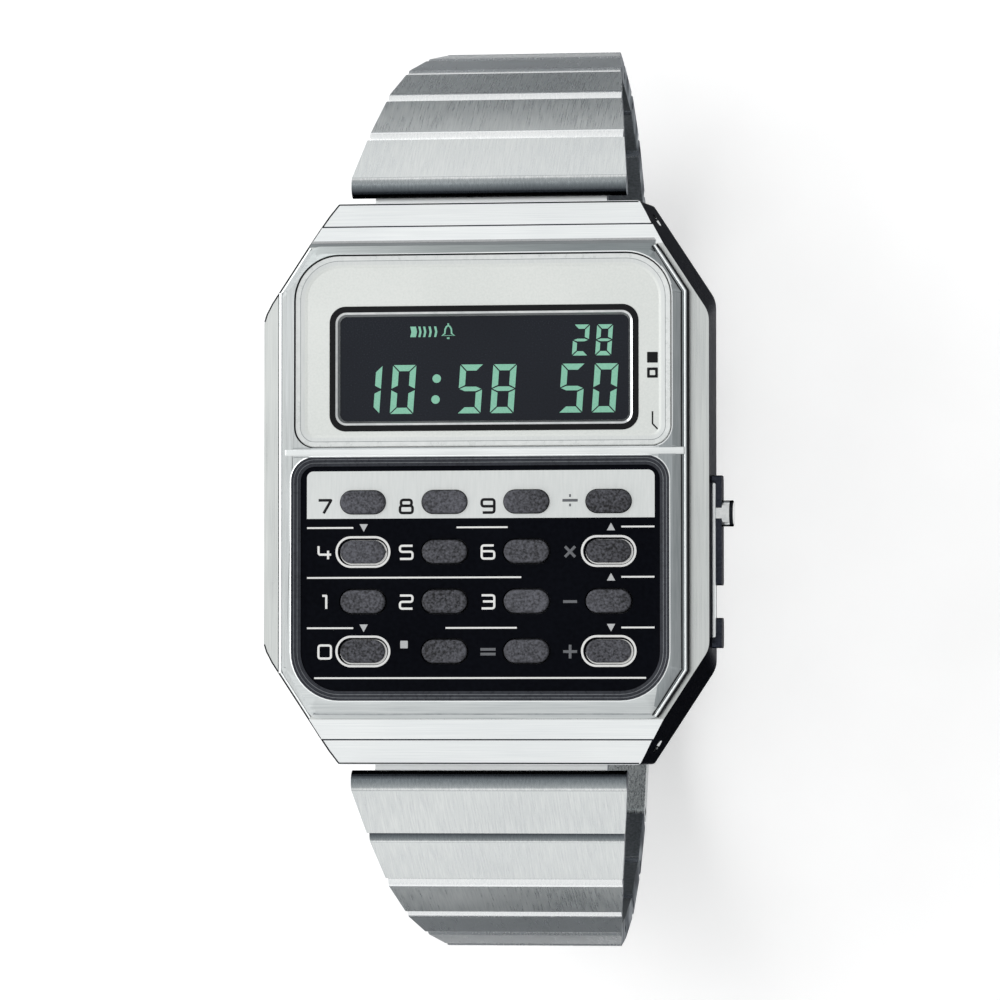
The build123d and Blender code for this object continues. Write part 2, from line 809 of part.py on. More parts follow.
# Levels of the clasp
cover_end = pin_places[-1][0] - tube_radius - tube_gap
cover_start = cover_end - cover_length
blade_bottom = cover_thickness + blade_gap
hinge_z = blade_bottom + blade_barrel_radius
slider_bottom = blade_bottom + blade_thickness + slider_plate_gap
slider_floor = slider_bottom + slider_plate
tail_z = slider_floor + tail_gap + link_half_thickness

# Tail of the 6 o'clock side: one sloping link, then flat ones inside the clasp
tail_start = pin_places[link_count - 1]
tail_heading = 180.0 - degrees(asin((tail_start[1] - tail_z) / link_pitch))
tail_out = tail_start[0] + link_pitch * cos(radians(tail_heading))
tail_flat_heading = 180.0
with BuildPart() as band_tail:
    add(band_link(-1, tail_start, tail_heading, link_count))
    for index in range(tail_links):
        flat_place = (tail_out - link_pitch * index, tail_z)
        last = index == tail_links - 1
        add(
            band_link(
                -1,
                flat_place,
                tail_flat_heading,
                link_count,
                far="plain" if last else "tongue",
            )
        )
save(band_tail.part, "band_tail")

# Clasp spring bar, pressed in so that its tips clear the ears
slider_half = band_end_width / 2 + slider_side_gap + slider_wall
cover_inner_half = slider_half + cover_side_gap
cover_half = cover_inner_half + cover_wall
tube_y, tube_z = pin_places[-1]
with BuildPart() as clasp_spring_bar:
    with Locations(Location((0, tube_y, tube_z), (0, 90, 0))):
        Cylinder(bar_radius, band_end_width)
        Cylinder(bar_tip_radius, 2 * (cover_inner_half - bar_shoulder_gap))
save(clasp_spring_bar.part, "clasp_spring_bar")

# Clasp cover: a channel that is open towards the wrist, with ears for the spring bar
hinge_start = cover_start + blade_hinge_inset
with BuildPart() as clasp_cover:
    with BuildSketch(Plane.XY):
        with Locations((0, (cover_start + cover_end) / 2)):
            Rectangle(2 * cover_half, cover_length)
    extrude(amount=cover_wall_height)
    with BuildSketch(Plane.YZ.offset(-cover_half)):
        with Locations((tube_y, tube_z)):
            Circle(ear_radius)
        with Locations(((cover_end + tube_y) / 2, tube_z)):
            Rectangle(tube_y - cover_end, 2 * ear_radius)
    extrude(amount=2 * cover_half)
    with BuildSketch(Plane.XY.offset(cover_thickness)):
        with Locations((0, (cover_start + tube_y + ear_reach) / 2)):
            Rectangle(2 * cover_inner_half, tube_y + ear_reach - cover_start + overrun)
    extrude(amount=cover_wall_height, mode=Mode.SUBTRACT)
    outer_edges = clasp_cover.edges().filter_by(Axis.Y).group_by(Axis.Z)[0]
    fillet(outer_edges, radius=cover_edge_radius)
    with Locations(
        Location((0, tube_y, tube_z), (0, 90, 0)),
        Location((0, hinge_start, hinge_z), (0, 90, 0)),
    ):
        Cylinder(clasp_pin_radius + pin_gap, 2 * cover_half + overrun, mode=Mode.SUBTRACT)
save(clasp_cover.part, "clasp_cover")

# Folding blade between the cover and the slider
hinge_end = cover_end - slider_hinge_inset
with BuildPart() as clasp_blade:
    with BuildSketch(Plane.XY.offset(blade_bottom)):
        with Locations((0, (hinge_start + hinge_end) / 2)):
            Rectangle(blade_width, hinge_end - hinge_start)
            with GridLocations(0, blade_window_pitch, 1, 2):
                RectangleRounded(
                    blade_window_width,
                    blade_window_length,
                    blade_barrel_radius,
                    mode=Mode.SUBTRACT,
                )
    extrude(amount=blade_thickness)
    with Locations(Location((0, hinge_start, hinge_z), (0, 90, 0))):
        Cylinder(blade_barrel_radius, 2 * (cover_inner_half - cover_side_gap))
    with Locations(Location((0, hinge_end, hinge_z), (0, 90, 0))):
        Cylinder(blade_barrel_radius, band_end_width)
    with Locations(
        Location((0, hinge_start, hinge_z), (0, 90, 0)),
        Location((0, hinge_end, hinge_z), (0, 90, 0)),
    ):
        Cylinder(clasp_pin_radius + pin_gap, 2 * cover_half, mode=Mode.SUBTRACT)
save(clasp_blade.part, "clasp_blade")

# Hinge pins of the blade
with BuildPart() as clasp_pins:
    with Locations(Location((0, hinge_start, hinge_z), (0, 90, 0))):
        Cylinder(clasp_pin_radius, 2 * cover_half - cover_wall)
    with Locations(Location((0, hinge_end, hinge_z), (0, 90, 0))):
        Cylinder(clasp_pin_radius, 2 * slider_half - slider_wall)
save(clasp_pins.part, "clasp_pins")

# Slider: a channel round the band's tail, with ears for the blade's pin
slider_start = hinge_end + blade_barrel_radius - slider_length
plate_end = hinge_end - blade_barrel_radius - slide_gap
lock_y = slider_start + slider_length - lock_hinge_inset
lock_bottom = tail_z + link_half_thickness + lock_gap
lock_z = lock_bottom + lock_barrel_radius
slider_wall_x = slider_half - slider_wall / 2
with BuildPart() as clasp_slider:
    with BuildSketch(Plane.XY.offset(slider_bottom)):
        with Locations((0, (slider_start + plate_end) / 2)):
            Rectangle(2 * slider_half, plate_end - slider_start)
    extrude(amount=slider_plate)
    for wall_side in (1, -1):
        with BuildSketch(Plane.YZ.offset(wall_side * slider_wall_x)):
            with Locations((slider_start + slider_length / 2, (slider_bottom + slider_wall_top) / 2)):
                Rectangle(slider_length, slider_wall_top - slider_bottom)
            with Locations((hinge_end, hinge_z)):
                Circle(blade_barrel_radius)
        extrude(amount=slider_wall / 2, both=True)
    with Locations(
        Location((0, hinge_end, hinge_z), (0, 90, 0)),
    ):
        Cylinder(clasp_pin_radius + pin_gap, 2 * slider_half + overrun, mode=Mode.SUBTRACT)
    with Locations(
        Location((0, lock_y, lock_z), (0, 90, 0)),
    ):
        Cylinder(lock_nib_radius + pin_gap, 2 * slider_half + overrun, mode=Mode.SUBTRACT)
save(clasp_slider.part, "clasp_slider")

# Lock lever: it flips up from the wrist side of the slider and turns on two nibs
lock_half = band_end_width / 2 - lock_gap
with BuildPart() as clasp_lock:
    with Locations(Location((0, lock_y, lock_z), (0, 90, 0))):
        Cylinder(lock_barrel_radius, 2 * lock_half)
        Cylinder(lock_nib_radius, 2 * slider_half)
    with BuildSketch(Plane.XY.offset(lock_z - lock_barrel_radius + lock_gap)):
        with Locations((0, lock_y - lock_length / 2)):
            Rectangle(2 * lock_half, lock_length)
    extrude(amount=lock_thickness)
save(clasp_lock.part, "clasp_lock")

print("face height", round(face_z, 3), "clasp pin", [round(v, 3) for v in pin_places[-1]])
print("cover from", round(cover_start, 3), "to", round(cover_end, 3), "tail", round(tail_out, 3))
print("tail heading", round(tail_heading, 2), "blade hinges", round(hinge_start, 3), round(hinge_end, 3))
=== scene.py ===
import json
import math

import bmesh
import bpy
from mathutils import Matrix, Vector

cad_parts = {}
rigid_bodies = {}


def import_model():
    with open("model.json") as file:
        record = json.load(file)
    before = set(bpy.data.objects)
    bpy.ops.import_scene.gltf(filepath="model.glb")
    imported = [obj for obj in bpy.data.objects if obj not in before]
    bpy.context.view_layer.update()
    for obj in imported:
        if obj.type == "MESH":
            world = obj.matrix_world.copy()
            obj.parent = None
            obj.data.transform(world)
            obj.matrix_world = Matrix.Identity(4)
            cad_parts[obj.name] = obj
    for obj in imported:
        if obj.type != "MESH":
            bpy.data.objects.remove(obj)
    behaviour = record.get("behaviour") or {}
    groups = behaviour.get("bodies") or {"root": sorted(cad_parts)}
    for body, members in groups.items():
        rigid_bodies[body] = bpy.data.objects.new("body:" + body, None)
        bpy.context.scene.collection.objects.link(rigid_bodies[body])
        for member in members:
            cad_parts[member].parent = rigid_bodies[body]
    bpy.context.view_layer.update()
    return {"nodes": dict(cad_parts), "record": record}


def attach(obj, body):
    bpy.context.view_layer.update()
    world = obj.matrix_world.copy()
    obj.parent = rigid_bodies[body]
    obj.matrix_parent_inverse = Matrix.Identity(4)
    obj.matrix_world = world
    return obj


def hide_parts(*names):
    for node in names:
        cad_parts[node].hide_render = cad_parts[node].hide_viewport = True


for leftover in list(bpy.data.objects):
    bpy.data.objects.remove(leftover)

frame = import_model()

mm = 0.001
record = frame["record"]
bodyOf = {node: body for body, nodes in record["behaviour"]["bodies"].items() for node in nodes}

# levels of the CAD part that the trim is set on, in mm
levels = {"face": 59.03, "plate": 58.03, "panel": 58.73}


# helpers for nodes and materials


def linearColour(code, alpha=1.0):
    # hex colours are written as seen on screen, the shader wants them linear
    channels = [int(code[i:i + 2], 16) / 255 for i in (0, 2, 4)]
    return [c / 12.92 if c <= 0.04045 else ((c + 0.055) / 1.055) ** 2.4 for c in channels] + [alpha]


def addNode(tree, kind, settings, links=()):
    node = tree.nodes.new("ShaderNode" + kind)
    for key, value in settings.items():
        if isinstance(key, int) or key in node.inputs:
            node.inputs[key].default_value = value
        else:
            setattr(node, key, value)
    for source, socket in links:
        tree.links.new(source, node.inputs[socket])
    return node


# limits of the pattern that the colours and gloss run between, and where the broad clouds start
pattern = {"low": 0.36, "high": 0.64, "cloudsAt": (3.1, 5.7, 1.9), "coatRough": 0.04}


def surface(name, dark, light, metallic, rough, perMm, height=0.0, coat=0.0, coords="Object", cloud=0.15,
            share=0.3, spec=0.5, tint=None, fade=None):
    # one layout for every finish: a fine pattern and broad clouds drive colour, gloss and relief
    # perMm is how often the fine pattern repeats along x, y and z; stretched values give brushed grain
    material = bpy.data.materials.new(name)
    material.use_nodes = True
    tree = material.node_tree
    shader = tree.nodes["Principled BSDF"]
    unit = 1.0 if coords == "UV" else 1.0 / mm
    where = addNode(tree, "TexCoord", {})
    fineMap = addNode(tree, "Mapping", {"Scale": [v * unit for v in perMm]}, [(where.outputs[coords], "Vector")])
    fine = addNode(tree, "TexNoise", {"Scale": 1.0, "Detail": 3.0, "Roughness": 0.6},
                   [(fineMap.outputs["Vector"], "Vector")])
    broadMap = addNode(tree, "Mapping", {"Scale": [cloud / mm] * 3, "Location": pattern["cloudsAt"]},
                       [(where.outputs["Object"], "Vector")])
    broad = addNode(tree, "TexNoise", {"Scale": 1.0, "Detail": 1.0}, [(broadMap.outputs["Vector"], "Vector")])
    shared = addNode(tree, "Math", {"operation": "MULTIPLY", 1: share}, [(broad.outputs["Fac"], 0)])
    mixed = addNode(tree, "Math", {"operation": "MULTIPLY_ADD", 1: 1.0 - share},
                    [(fine.outputs["Fac"], 0), (shared.outputs[0], 2)])
    ramp = addNode(tree, "ValToRGB", {}, [(mixed.outputs[0], "Fac")])
    ramp.color_ramp.elements[0].position = pattern["low"]
    ramp.color_ramp.elements[0].color = linearColour(dark)
    ramp.color_ramp.elements[1].position = pattern["high"]
    ramp.color_ramp.elements[1].color = linearColour(light)
    gloss = addNode(tree, "MapRange", {"From Min": pattern["low"], "From Max": pattern["high"], "To Min": rough[0],
                                       "To Max": rough[1]}, [(mixed.outputs[0], "Value")])
    colour = ramp.outputs["Color"]
    if fade:
        # stops of shade along one axis, from start to end in the pattern's own unit
        axis, start, end, steps = fade
        split = addNode(tree, "SeparateXYZ", {}, [(where.outputs[coords], "Vector")])
        along = addNode(tree, "MapRange", {"From Min": start / unit, "From Max": end / unit},
                        [(split.outputs[axis], "Value")])
        shade = addNode(tree, "ValToRGB", {}, [(along.outputs["Result"], "Fac")])
        stops = shade.color_ramp.elements
        for position, code in steps[1:-1]:
            stops.new(position).color = linearColour(code)
        stops[0].color, stops[-1].color = linearColour(steps[0][1]), linearColour(steps[-1][1])
        toned = addNode(tree, "Mix", {"data_type": "RGBA", "blend_type": "MULTIPLY", 0: 1.0},
                        [(colour, 6), (shade.outputs["Color"], 7)])
        colour = toned.outputs[2]
    tree.links.new(colour, shader.inputs["Base Color"])
    tree.links.new(gloss.outputs["Result"], shader.inputs["Roughness"])
    shader.inputs["Metallic"].default_value = metallic
    shader.inputs["Specular IOR Level"].default_value = spec
    shader.inputs["Coat Weight"].default_value = coat
    shader.inputs["Coat Roughness"].default_value = pattern["coatRough"]
    if tint:
        shader.inputs["Specular Tint"].default_value = linearColour(tint)
    if height:
        bump = addNode(tree, "Bump", {"Strength": 1.0, "Distance": height * mm}, [(fine.outputs["Fac"], "Height")])
        tree.links.new(bump.outputs["Normal"], shader.inputs["Normal"])
    return material


# materials, each named for what it is made of and for any light or shade painted into it

# the painted shadow and highlight of the rolled link ends run along the grain, from this far round the roll to its
# crest, in mm
roll = ("Y", -2.2, 0)
paint = {
    # the near-white satin plate of the case ends, hair-fine lines across the watch
    "satinAcross": surface("Satin chrome plate, across", "e4e8e9", "f1f4f4", 1.0, (0.28, 0.38), (0.15, 14, 14), 0.0005),
    # the same plate on the side strips, lines along the watch, a shade greyer
    "satinAlong": surface("Satin chrome plate, lengthwise", "b9bdbc", "c8cbc9", 1.0, (0.26, 0.36),
                          (14, 0.15, 14), 0.0005),
    # the dark flank under the bright top edge: chrome with a dark reflection painted into its colour, which stays dark
    # seen at a flat angle
    "darkReflectionChrome": surface("Chrome plate with painted dark reflection", "252830", "383b44", 1.0, (0.26, 0.34), (4, 4, 4), tint="4c4f58"),
    # bezel rails with lengthwise grain, mid grey so that the slopes read against the satin case
    "bezelAlong": surface("Brushed bezel steel, lengthwise", "b0b4b4", "c2c6c6", 1.0, (0.3, 0.4), (9, 0.2, 6)),
    "bezelAcross": surface("Brushed bezel steel, across", "b9bebf", "ccd0d0", 1.0, (0.3, 0.4), (0.2, 9, 6)),
    # the bar between the windows, satin like the case
    "barSatin": surface("Satin bar", "d4d8d8", "e0e3e3", 1.0, (0.28, 0.38), (0.15, 14, 14)),
    # the top rail, with painted shade that makes it paler towards the left and darker towards the right, and the step
    # above it
    "topRail": surface("Brushed bezel steel, top rail", "d9dddd", "ebeeee", 1.0, (0.3, 0.4), (0.4, 9, 6),
                       fade=("X", -14, 7, ((0, "e0e3e3"), (0.5, "b2b6b6"), (1, "979c9e")))),
    "topShade": surface("Shaded step above the top rail", "7e8486", "8b9092", 0.3, (0.4, 0.5), (0.4, 9, 6)),
    # the rails on the shaded side, duller so that they stay grey as in the photograph
    "bezelShade": surface("Brushed bezel steel, shaded rail", "8d9395", "9da2a4", 1.0, (0.3, 0.4), (9, 0.4, 6)),
    # link faces: grain runs down the bracelet; real grain is finer than the image can hold, so it is drawn coarser
    "link": surface("Brushed bracelet steel", "bec2c3", "d6d9d8", 1.0, (0.24, 0.36), (9, 0.35, 1), 0.0007, coords="UV"),
    # the links that turn under the wrist, a shade duller: painted shade
    "linkFar": surface("Bracelet steel with painted shade", "a3a8ab", "b9bdbf", 1.0, (0.26, 0.38), (9, 0.35, 1), 0.0005, coords="UV"),
    # rolled link ends: painted shadow where they dip under the case or the link before, and a painted highlight line is
    # left
    "rollFirst": surface("Rolled link end with painted shadow under the case", "d4d7d7", "f0f2f2", 1.0, (0.2, 0.32), (7, 2, 1), 0.002,
                         coords="UV", fade=(*roll, ((0, "06070a"), (0.24, "15171b"), (0.4, "3c4046"), (0.62, "7e8488"),
                                                    (0.84, "b4b8ba"), (0.92, "ffffff"), (1, "aeb2b4")))),
    "rollSecond": surface("Rolled link end with painted half shade and highlight", "d4d7d7", "f0f2f2", 1.0, (0.2, 0.32), (7, 2, 1), 0.002,
                          coords="UV", fade=(*roll, ((0, "5a5e64"), (0.42, "4a4e54"), (0.5, "15171b"), (0.62, "4a4f55"),
                                                     (0.78, "7e8488"), (0.88, "a4a8aa"), (0.94, "ffffff"),
                                                     (1, "aeb2b4")))),
    "rollBright": surface("Rolled link end with painted highlight", "e2e5e6", "eef0f0", 1.0, (0.2, 0.3), (7, 2, 1), 0.0004,
                          coords="UV", fade=(*roll, ((0, "5a5e64"), (0.4, "4a4e54"), (0.48, "15171b"), (0.52, "15171b"),
                                                     (0.56, "9ea2a5"), (0.62, "ffffff"), (0.93, "ffffff"),
                                                     (1, "9a9ea1")))),
    # the cut edges of the links, dark with soft light patches: painted shade and painted reflections
    "bandSide": surface("Cut bracelet edge with painted shade and reflections", "24272e", "c0c4c6", 1.0, (0.3, 0.4), (3, 3, 3), 0.001, cloud=0.42,
                        share=0.85, tint="8a8e94"),
    # the hidden undersides of the links, plainer, and a little darker as painted shade
    "linkSide": surface("Tumbled bracelet steel with painted shade", "63686c", "7f8387", 1.0, (0.28, 0.4), (5, 5, 5), 0.0006),
    # pressed sheet of the clasp with long rolling lines
    "clasp": surface("Rolled clasp steel", "a4a9ab", "c6caca", 1.0, (0.22, 0.34), (9, 0.25, 9), 0.001),
    # bright turned pins and buttons
    "polished": surface("Polished steel", "c3c6c7", "d8dada", 1.0, (0.08, 0.16), (1.5, 1.5, 1.5), 0.0004),
    # dark steel, also painted shade on the button's sides and along the case's edges
    "darkSteelAndShade": surface("Dark steel and painted shade", "16181c", "26292e", 1.0, (0.25, 0.35), (3, 3, 3), 0.001, tint="40434a"),
    # silver print under the clear window, faintly pearly
    "silverPrint": surface("Silver print under acrylic", "cdd1ce", "d6d9d6", 0.25, (0.34, 0.42), (6, 6, 6), coat=0.3),
    # the bright strip behind the first row of keys
    "silverStrip": surface("Silver film under acrylic", "c8cccb", "d0d3d2", 0.2, (0.34, 0.42), (7, 0.6, 5), coat=0.2),
    # black print, also painted shade along the bezel's crease and round the window
    "blackPrintAndShade": surface("Black print and painted shade", "040507", "0b0c10", 0.0, (0.3, 0.4), (5, 5, 5), spec=0.15),
    # white print, also a painted highlight on the edges of the key holes
    "whitePrintAndHighlight": surface("White print and painted highlight", "d6d7d6", "e4e4e2", 0.0, (0.4, 0.5), (8, 8, 8), spec=0.2),
    # pale grey print, also painted light and shade on the step above the top rail
    "paleGreyPrintAndShade": surface("Pale grey print and painted shade", "a9abad", "b9bbbc", 0.0, (0.4, 0.5), (8, 8, 8), spec=0.2),
    "greyPrint": surface("Grey print", "5a5c60", "686a6e", 0.0, (0.4, 0.5), (8, 8, 8), spec=0.2),
    # clear edge of the window, reads as pale grey steps
    "lens": surface("Clear acrylic edge", "cbcfce", "d8dbda", 0.1, (0.25, 0.35), (2, 2, 2), coat=0.3),
    "lensLine": surface("Shaded acrylic step", "8c9193", "a2a6a8", 0.1, (0.3, 0.4), (2, 2, 2), spec=0.3),
    # negative liquid crystal: blue-black field, mint figures
    "display": surface("Negative display glass", "14171e", "1a1e26", 0.0, (0.2, 0.28), (8, 8, 8), spec=0.15),
    "mint": surface("Mint liquid crystal", "78b39b", "88c0a8", 0.0, (0.4, 0.5), (9, 9, 9), spec=0.15),
    # keypad plate, near black with a faint blue in it
    "panel": surface("Black acrylic panel", "020308", "06080f", 0.0, (0.3, 0.4), (3, 3, 3), 0.0004, spec=0.03),
    "panelRim": surface("Black acrylic rim", "1c1f26", "292c34", 0.0, (0.25, 0.35), (3, 3, 3), spec=0.25),
    "rimLine": surface("Lit edge of the acrylic rim", "5a5d62", "6f7377", 0.1, (0.25, 0.35), (3, 3, 3), spec=0.3),
    # grainy charcoal keys
    "key": surface("Charcoal key resin", "0c0d10", "5b5c63", 0.0, (0.5, 0.62), (5.5, 5.5, 5.5), 0.006, spec=0.25),
    "mat": surface("Grey silicone rubber", "55565a", "6a6b6e", 0.0, (0.6, 0.75), (6, 6, 6), 0.004),
    "module": surface("Glass-filled module resin", "1c1d20", "2c2d31", 0.0, (0.45, 0.6), (7, 3, 7), 0.003),
    "board": surface("Green solder mask", "0d4a2a", "176b3e", 0.0, (0.25, 0.4), (2.5, 2.5, 2.5), 0.002, coat=0.3),
    "nickel": surface("Nickel-plated battery can", "b0ada4", "cbc8be", 1.0, (0.2, 0.35), (0.5, 8, 5), 0.001),
    "brass": surface("Buzzer brass", "a8873f", "cba860", 1.0, (0.25, 0.4), (5, 0.6, 5), 0.001),
}
print("materials made:", len(paint))


# helpers for shapes, all in mm until the mesh is placed


def finishMesh(name, bm, finishes, body, sharp=40.0):
    # smooth faces with creases kept, then from mm to metres and onto its body
    bmesh.ops.recalc_face_normals(bm, faces=bm.faces)
    for face in bm.faces:
        face.smooth = True
    for edge in bm.edges:
        edge.smooth = edge.calc_face_angle(0.0) < math.radians(sharp)
    bmesh.ops.scale(bm, vec=(mm, mm, mm), verts=bm.verts)
    mesh = bpy.data.meshes.new(name)
    bm.to_mesh(mesh)
    bm.free()
    for finish in finishes:
        mesh.materials.append(paint[finish])
    piece = bpy.data.objects.new(name, mesh)
    bpy.context.scene.collection.objects.link(piece)
    even = piece.modifiers.new("even shading", "WEIGHTED_NORMAL")
    even.keep_sharp = True
    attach(piece, body)
    return piece


def arcPoints(centre, radius, start, end, steps):
    return [(centre[0] + radius * math.cos(math.radians(start + (end - start) * i / steps)),
             centre[1] + radius * math.sin(math.radians(start + (end - start) * i / steps)))
            for i in range(steps + 1)]


def roundedWindow(width, top, bottom, upper, lower, gap=0.0, steps=12):
    # the window's outline moved inwards by the gap
    x = width / 2 - gap
    high, low = top - gap, bottom + gap
    up, down = max(upper - gap, 0.05), max(lower - gap, 0.05)
    return (arcPoints((x - up, high - up), up, 0, 90, steps) + arcPoints((up - x, high - up), up, 90, 180, steps)
            + arcPoints((down - x, low + down), down, 180, 270, steps)
            + arcPoints((x - down, low + down), down, 270, 360, steps))


def roundedBox(centre, width, height, radius, steps=8):
    return [(x + centre[0], y + centre[1])
            for x, y in roundedWindow(width, height / 2, -height / 2, radius, radius, 0.0, steps)]


def stadium(centre, length, height, steps=14):
    return roundedBox(centre, length, height, height / 2 - 0.001, steps)


def ringPiece(name, outer, inner, low, highOuter, highInner, finish):
    # a closed ring between two outlines, its top sloping from one edge to the other
    bm = bmesh.new()
    loops = []
    for points, z in ((outer, low), (outer, highOuter), (inner, highInner), (inner, low)):
        corners = [bm.verts.new((x, y, z)) for x, y in points]
        loops.append([bm.edges.new((a, b)) for a, b in zip(corners, corners[1:] + corners[:1])])
    for first, second in zip(loops, loops[1:] + loops[:1]):
        bmesh.ops.bridge_loops(bm, edges=first + second)
    return finishMesh(name, bm, [finish], "case", sharp=25.0)


def pieceFromCurve(name, curve, place, finish):
    # the mesh that a curve makes, moved into place, as a piece of the case
    holder = bpy.data.objects.new(name + "_lines", curve)
    bpy.context.scene.collection.objects.link(holder)
    mesh = bpy.data.meshes.new_from_object(holder.evaluated_get(bpy.context.evaluated_depsgraph_get()))
    bpy.data.objects.remove(holder)
    mesh.transform(place)
    bm = bmesh.new()
    bm.from_mesh(mesh)
    bmesh.ops.remove_doubles(bm, verts=bm.verts, dist=1e-4)
    return finishMesh(name, bm, [finish], "case")


def flatPiece(name, outlines, low, high, finish):
    # filled outlines with holes, as thick as the two levels
    curve = bpy.data.curves.new(name + "_lines", "CURVE")
    curve.dimensions = "2D"
    curve.fill_mode = "BOTH"
    curve.extrude = (high - low) / 2
    for points in outlines:
        spline = curve.splines.new("POLY")
        spline.points.add(len(points) - 1)
        for point, (x, y) in zip(spline.points, points):
            point.co = (x, y, 0, 1)
        spline.use_cyclic_u = True
    return pieceFromCurve(name, curve, Matrix.Translation((0, 0, (low + high) / 2)), finish)


def strokePiece(name, paths, width, level, finish, flat=0.2):
    # printed lines: round strokes pressed flat
    curve = bpy.data.curves.new(name + "_lines", "CURVE")
    curve.dimensions = "3D"
    curve.bevel_depth = width / 2
    curve.bevel_resolution = 2
    curve.use_fill_caps = True
    for points, closed in paths:
        spline = curve.splines.new("POLY")
        spline.points.add(len(points) - 1)
        for point, spot in zip(spline.points, points):
            x, y, z = spot if len(spot) == 3 else (*spot, 0)
            point.co = (x, y, z, 1)
        spline.use_cyclic_u = closed
    place = Matrix.Translation((0, 0, level)) @ Matrix.Scale(flat, 4, (0, 0, 1))
    return pieceFromCurve(name, curve, place, finish)


def firstFinish(spot, normal):
    return 0


def dressNode(node, finishes, pick=firstFinish, bevel=0.0, rule=None, segments=2, adjust=None, along=None,
              merge=True):
    # a clean copy of a CAD node, in mm, with softened edges and a finish for each face
    mesh = frame["nodes"][node].data
    bm = bmesh.new()
    bm.from_mesh(mesh)
    bmesh.ops.scale(bm, vec=(1 / mm, 1 / mm, 1 / mm), verts=bm.verts)
    bmesh.ops.remove_doubles(bm, verts=bm.verts, dist=1e-3)
    if merge:
        bmesh.ops.dissolve_limit(bm, angle_limit=math.radians(1), verts=bm.verts, edges=bm.edges)
    if adjust:
        for corner in bm.verts:
            adjust(corner)
    if bevel:
        edges = []
        for edge in bm.edges:
            if len(edge.link_faces) != 2 or edge.calc_face_angle(0.0) < math.radians(20):
                continue
            if rule is None or rule(edge.verts[0].co, edge.verts[1].co):
                edges.append(edge)
        bmesh.ops.bevel(bm, geom=edges, offset=bevel, offset_type="OFFSET", segments=segments, profile=0.5,
                        affect="EDGES", clamp_overlap=True, material=-1)
    bmesh.ops.recalc_face_normals(bm, faces=bm.faces)
    for face in bm.faces:
        face.material_index = pick(face.calc_center_median(), face.normal)
    if along:
        # grain runs down the link, and round its rolled end by the length of the arc
        start, way, outward = along
        grain = bm.loops.layers.uv.new("grain")
        for face in bm.faces:
            for loop in face.loops:
                spot = loop.vert.co - start
                down = spot.dot(way)
                if down < 0:
                    down = -band["half"] * math.atan2(-down, spot.dot(outward))
                loop[grain].uv = (spot.x, down)
    piece = finishMesh(node + "_finished", bm, finishes, bodyOf[node])
    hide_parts(node)
    return piece


# case

caseShape = {"break": 19.7, "grooveHalf": 0.16, "sideStart": 17.9, "drill": (20.2, 54.43), "drillReach": 0.62,
             "ledgeX": (17.1, 17.46), "ledgeY": (-11.9, -0.1), "ledgeZ": (55.5, 56.15), "ledgeSoft": 0.12,
             "satinLow": 55.95, "narrow": 0.5, "narrowReach": 0.25, "lineWidth": 0.13}
# the case's softened edges: those of the ends and sides, clear of the groove, the buttons' bores and the drilled holes
caseSoft = {"offset": 0.14, "low": 52.5, "grooveClear": 0.3, "grooveEnd": 16, "endY": 18.0, "endLow": 56.1,
            "sideX": 15.9, "cornerX": 11.4, "cornerY": 12.6, "boreX": 16.5, "boreY": (-2.4, -9.1), "boreZ": 54.83,
            "boreClear": 1.25, "drillClear": 0.7}
# the dark line from a left corner along an end: the points of one half
caseLine = [(-17.1, 12.4, 58.0), (-16.93, 12.95, 58.0), (-16.5, 13.78, 58.0), (-13.68, 18.08, 58.0),
            (-12.83, 19.55, 57.36), (-12.22, 20.6, 56.78), (-11.6, 21.5, 56.27), (11.6, 21.5, 56.27)]


def pickCase(spot, normal):
    drillY, drillZ = caseShape["drill"]
    if abs(normal.x) < 0.3 and math.hypot(abs(spot.y) - drillY, spot.z - drillZ) < caseShape["drillReach"]:
        return 3
    # the groove's floor and all faces but the top facets take chrome with a painted dark reflection, which also paints
    # shade into the groove
    if abs(abs(spot.y) - caseShape["break"]) < caseShape["grooveHalf"] and normal.z > 0.9:
        return 2
    if normal.z > 0.7 and spot.z > caseShape["satinLow"]:
        return 0 if abs(spot.y) > caseShape["sideStart"] else 1
    return 2


def narrowGroove(corner):
    # the line across the end facets is finer than the groove cut in the CAD part
    away = abs(corner.co.y) - caseShape["break"]
    if abs(away) < caseShape["narrowReach"] and corner.co.z > caseShape["satinLow"]:
        corner.co.y = math.copysign(caseShape["break"] + away * caseShape["narrow"], corner.co.y)


def caseEdge(a, b):
    middle = (a + b) / 2
    x, y, z = abs(middle.x), abs(middle.y), middle.z
    if abs(y - caseShape["break"]) < caseSoft["grooveClear"] and x < caseSoft["grooveEnd"] or z < caseSoft["low"]:
        return False
    onEnd = y > caseSoft["endY"] and z > caseSoft["endLow"]
    onSide = x > caseSoft["sideX"] or x > caseSoft["cornerX"] and y > caseSoft["cornerY"]
    nearBore = middle.x > caseSoft["boreX"] and any(
        math.hypot(middle.y - boreY, z - caseSoft["boreZ"]) < caseSoft["boreClear"] for boreY in caseSoft["boreY"])
    drillY, drillZ = caseShape["drill"]
    nearDrill = math.hypot(y - drillY, z - drillZ) < caseSoft["drillClear"]
    return (onEnd or onSide) and not nearBore and not nearDrill


dressNode("case_body", ["satinAcross", "satinAlong", "darkReflectionChrome", "polished"], pickCase,
          caseSoft["offset"], caseEdge, 3, adjust=narrowGroove)


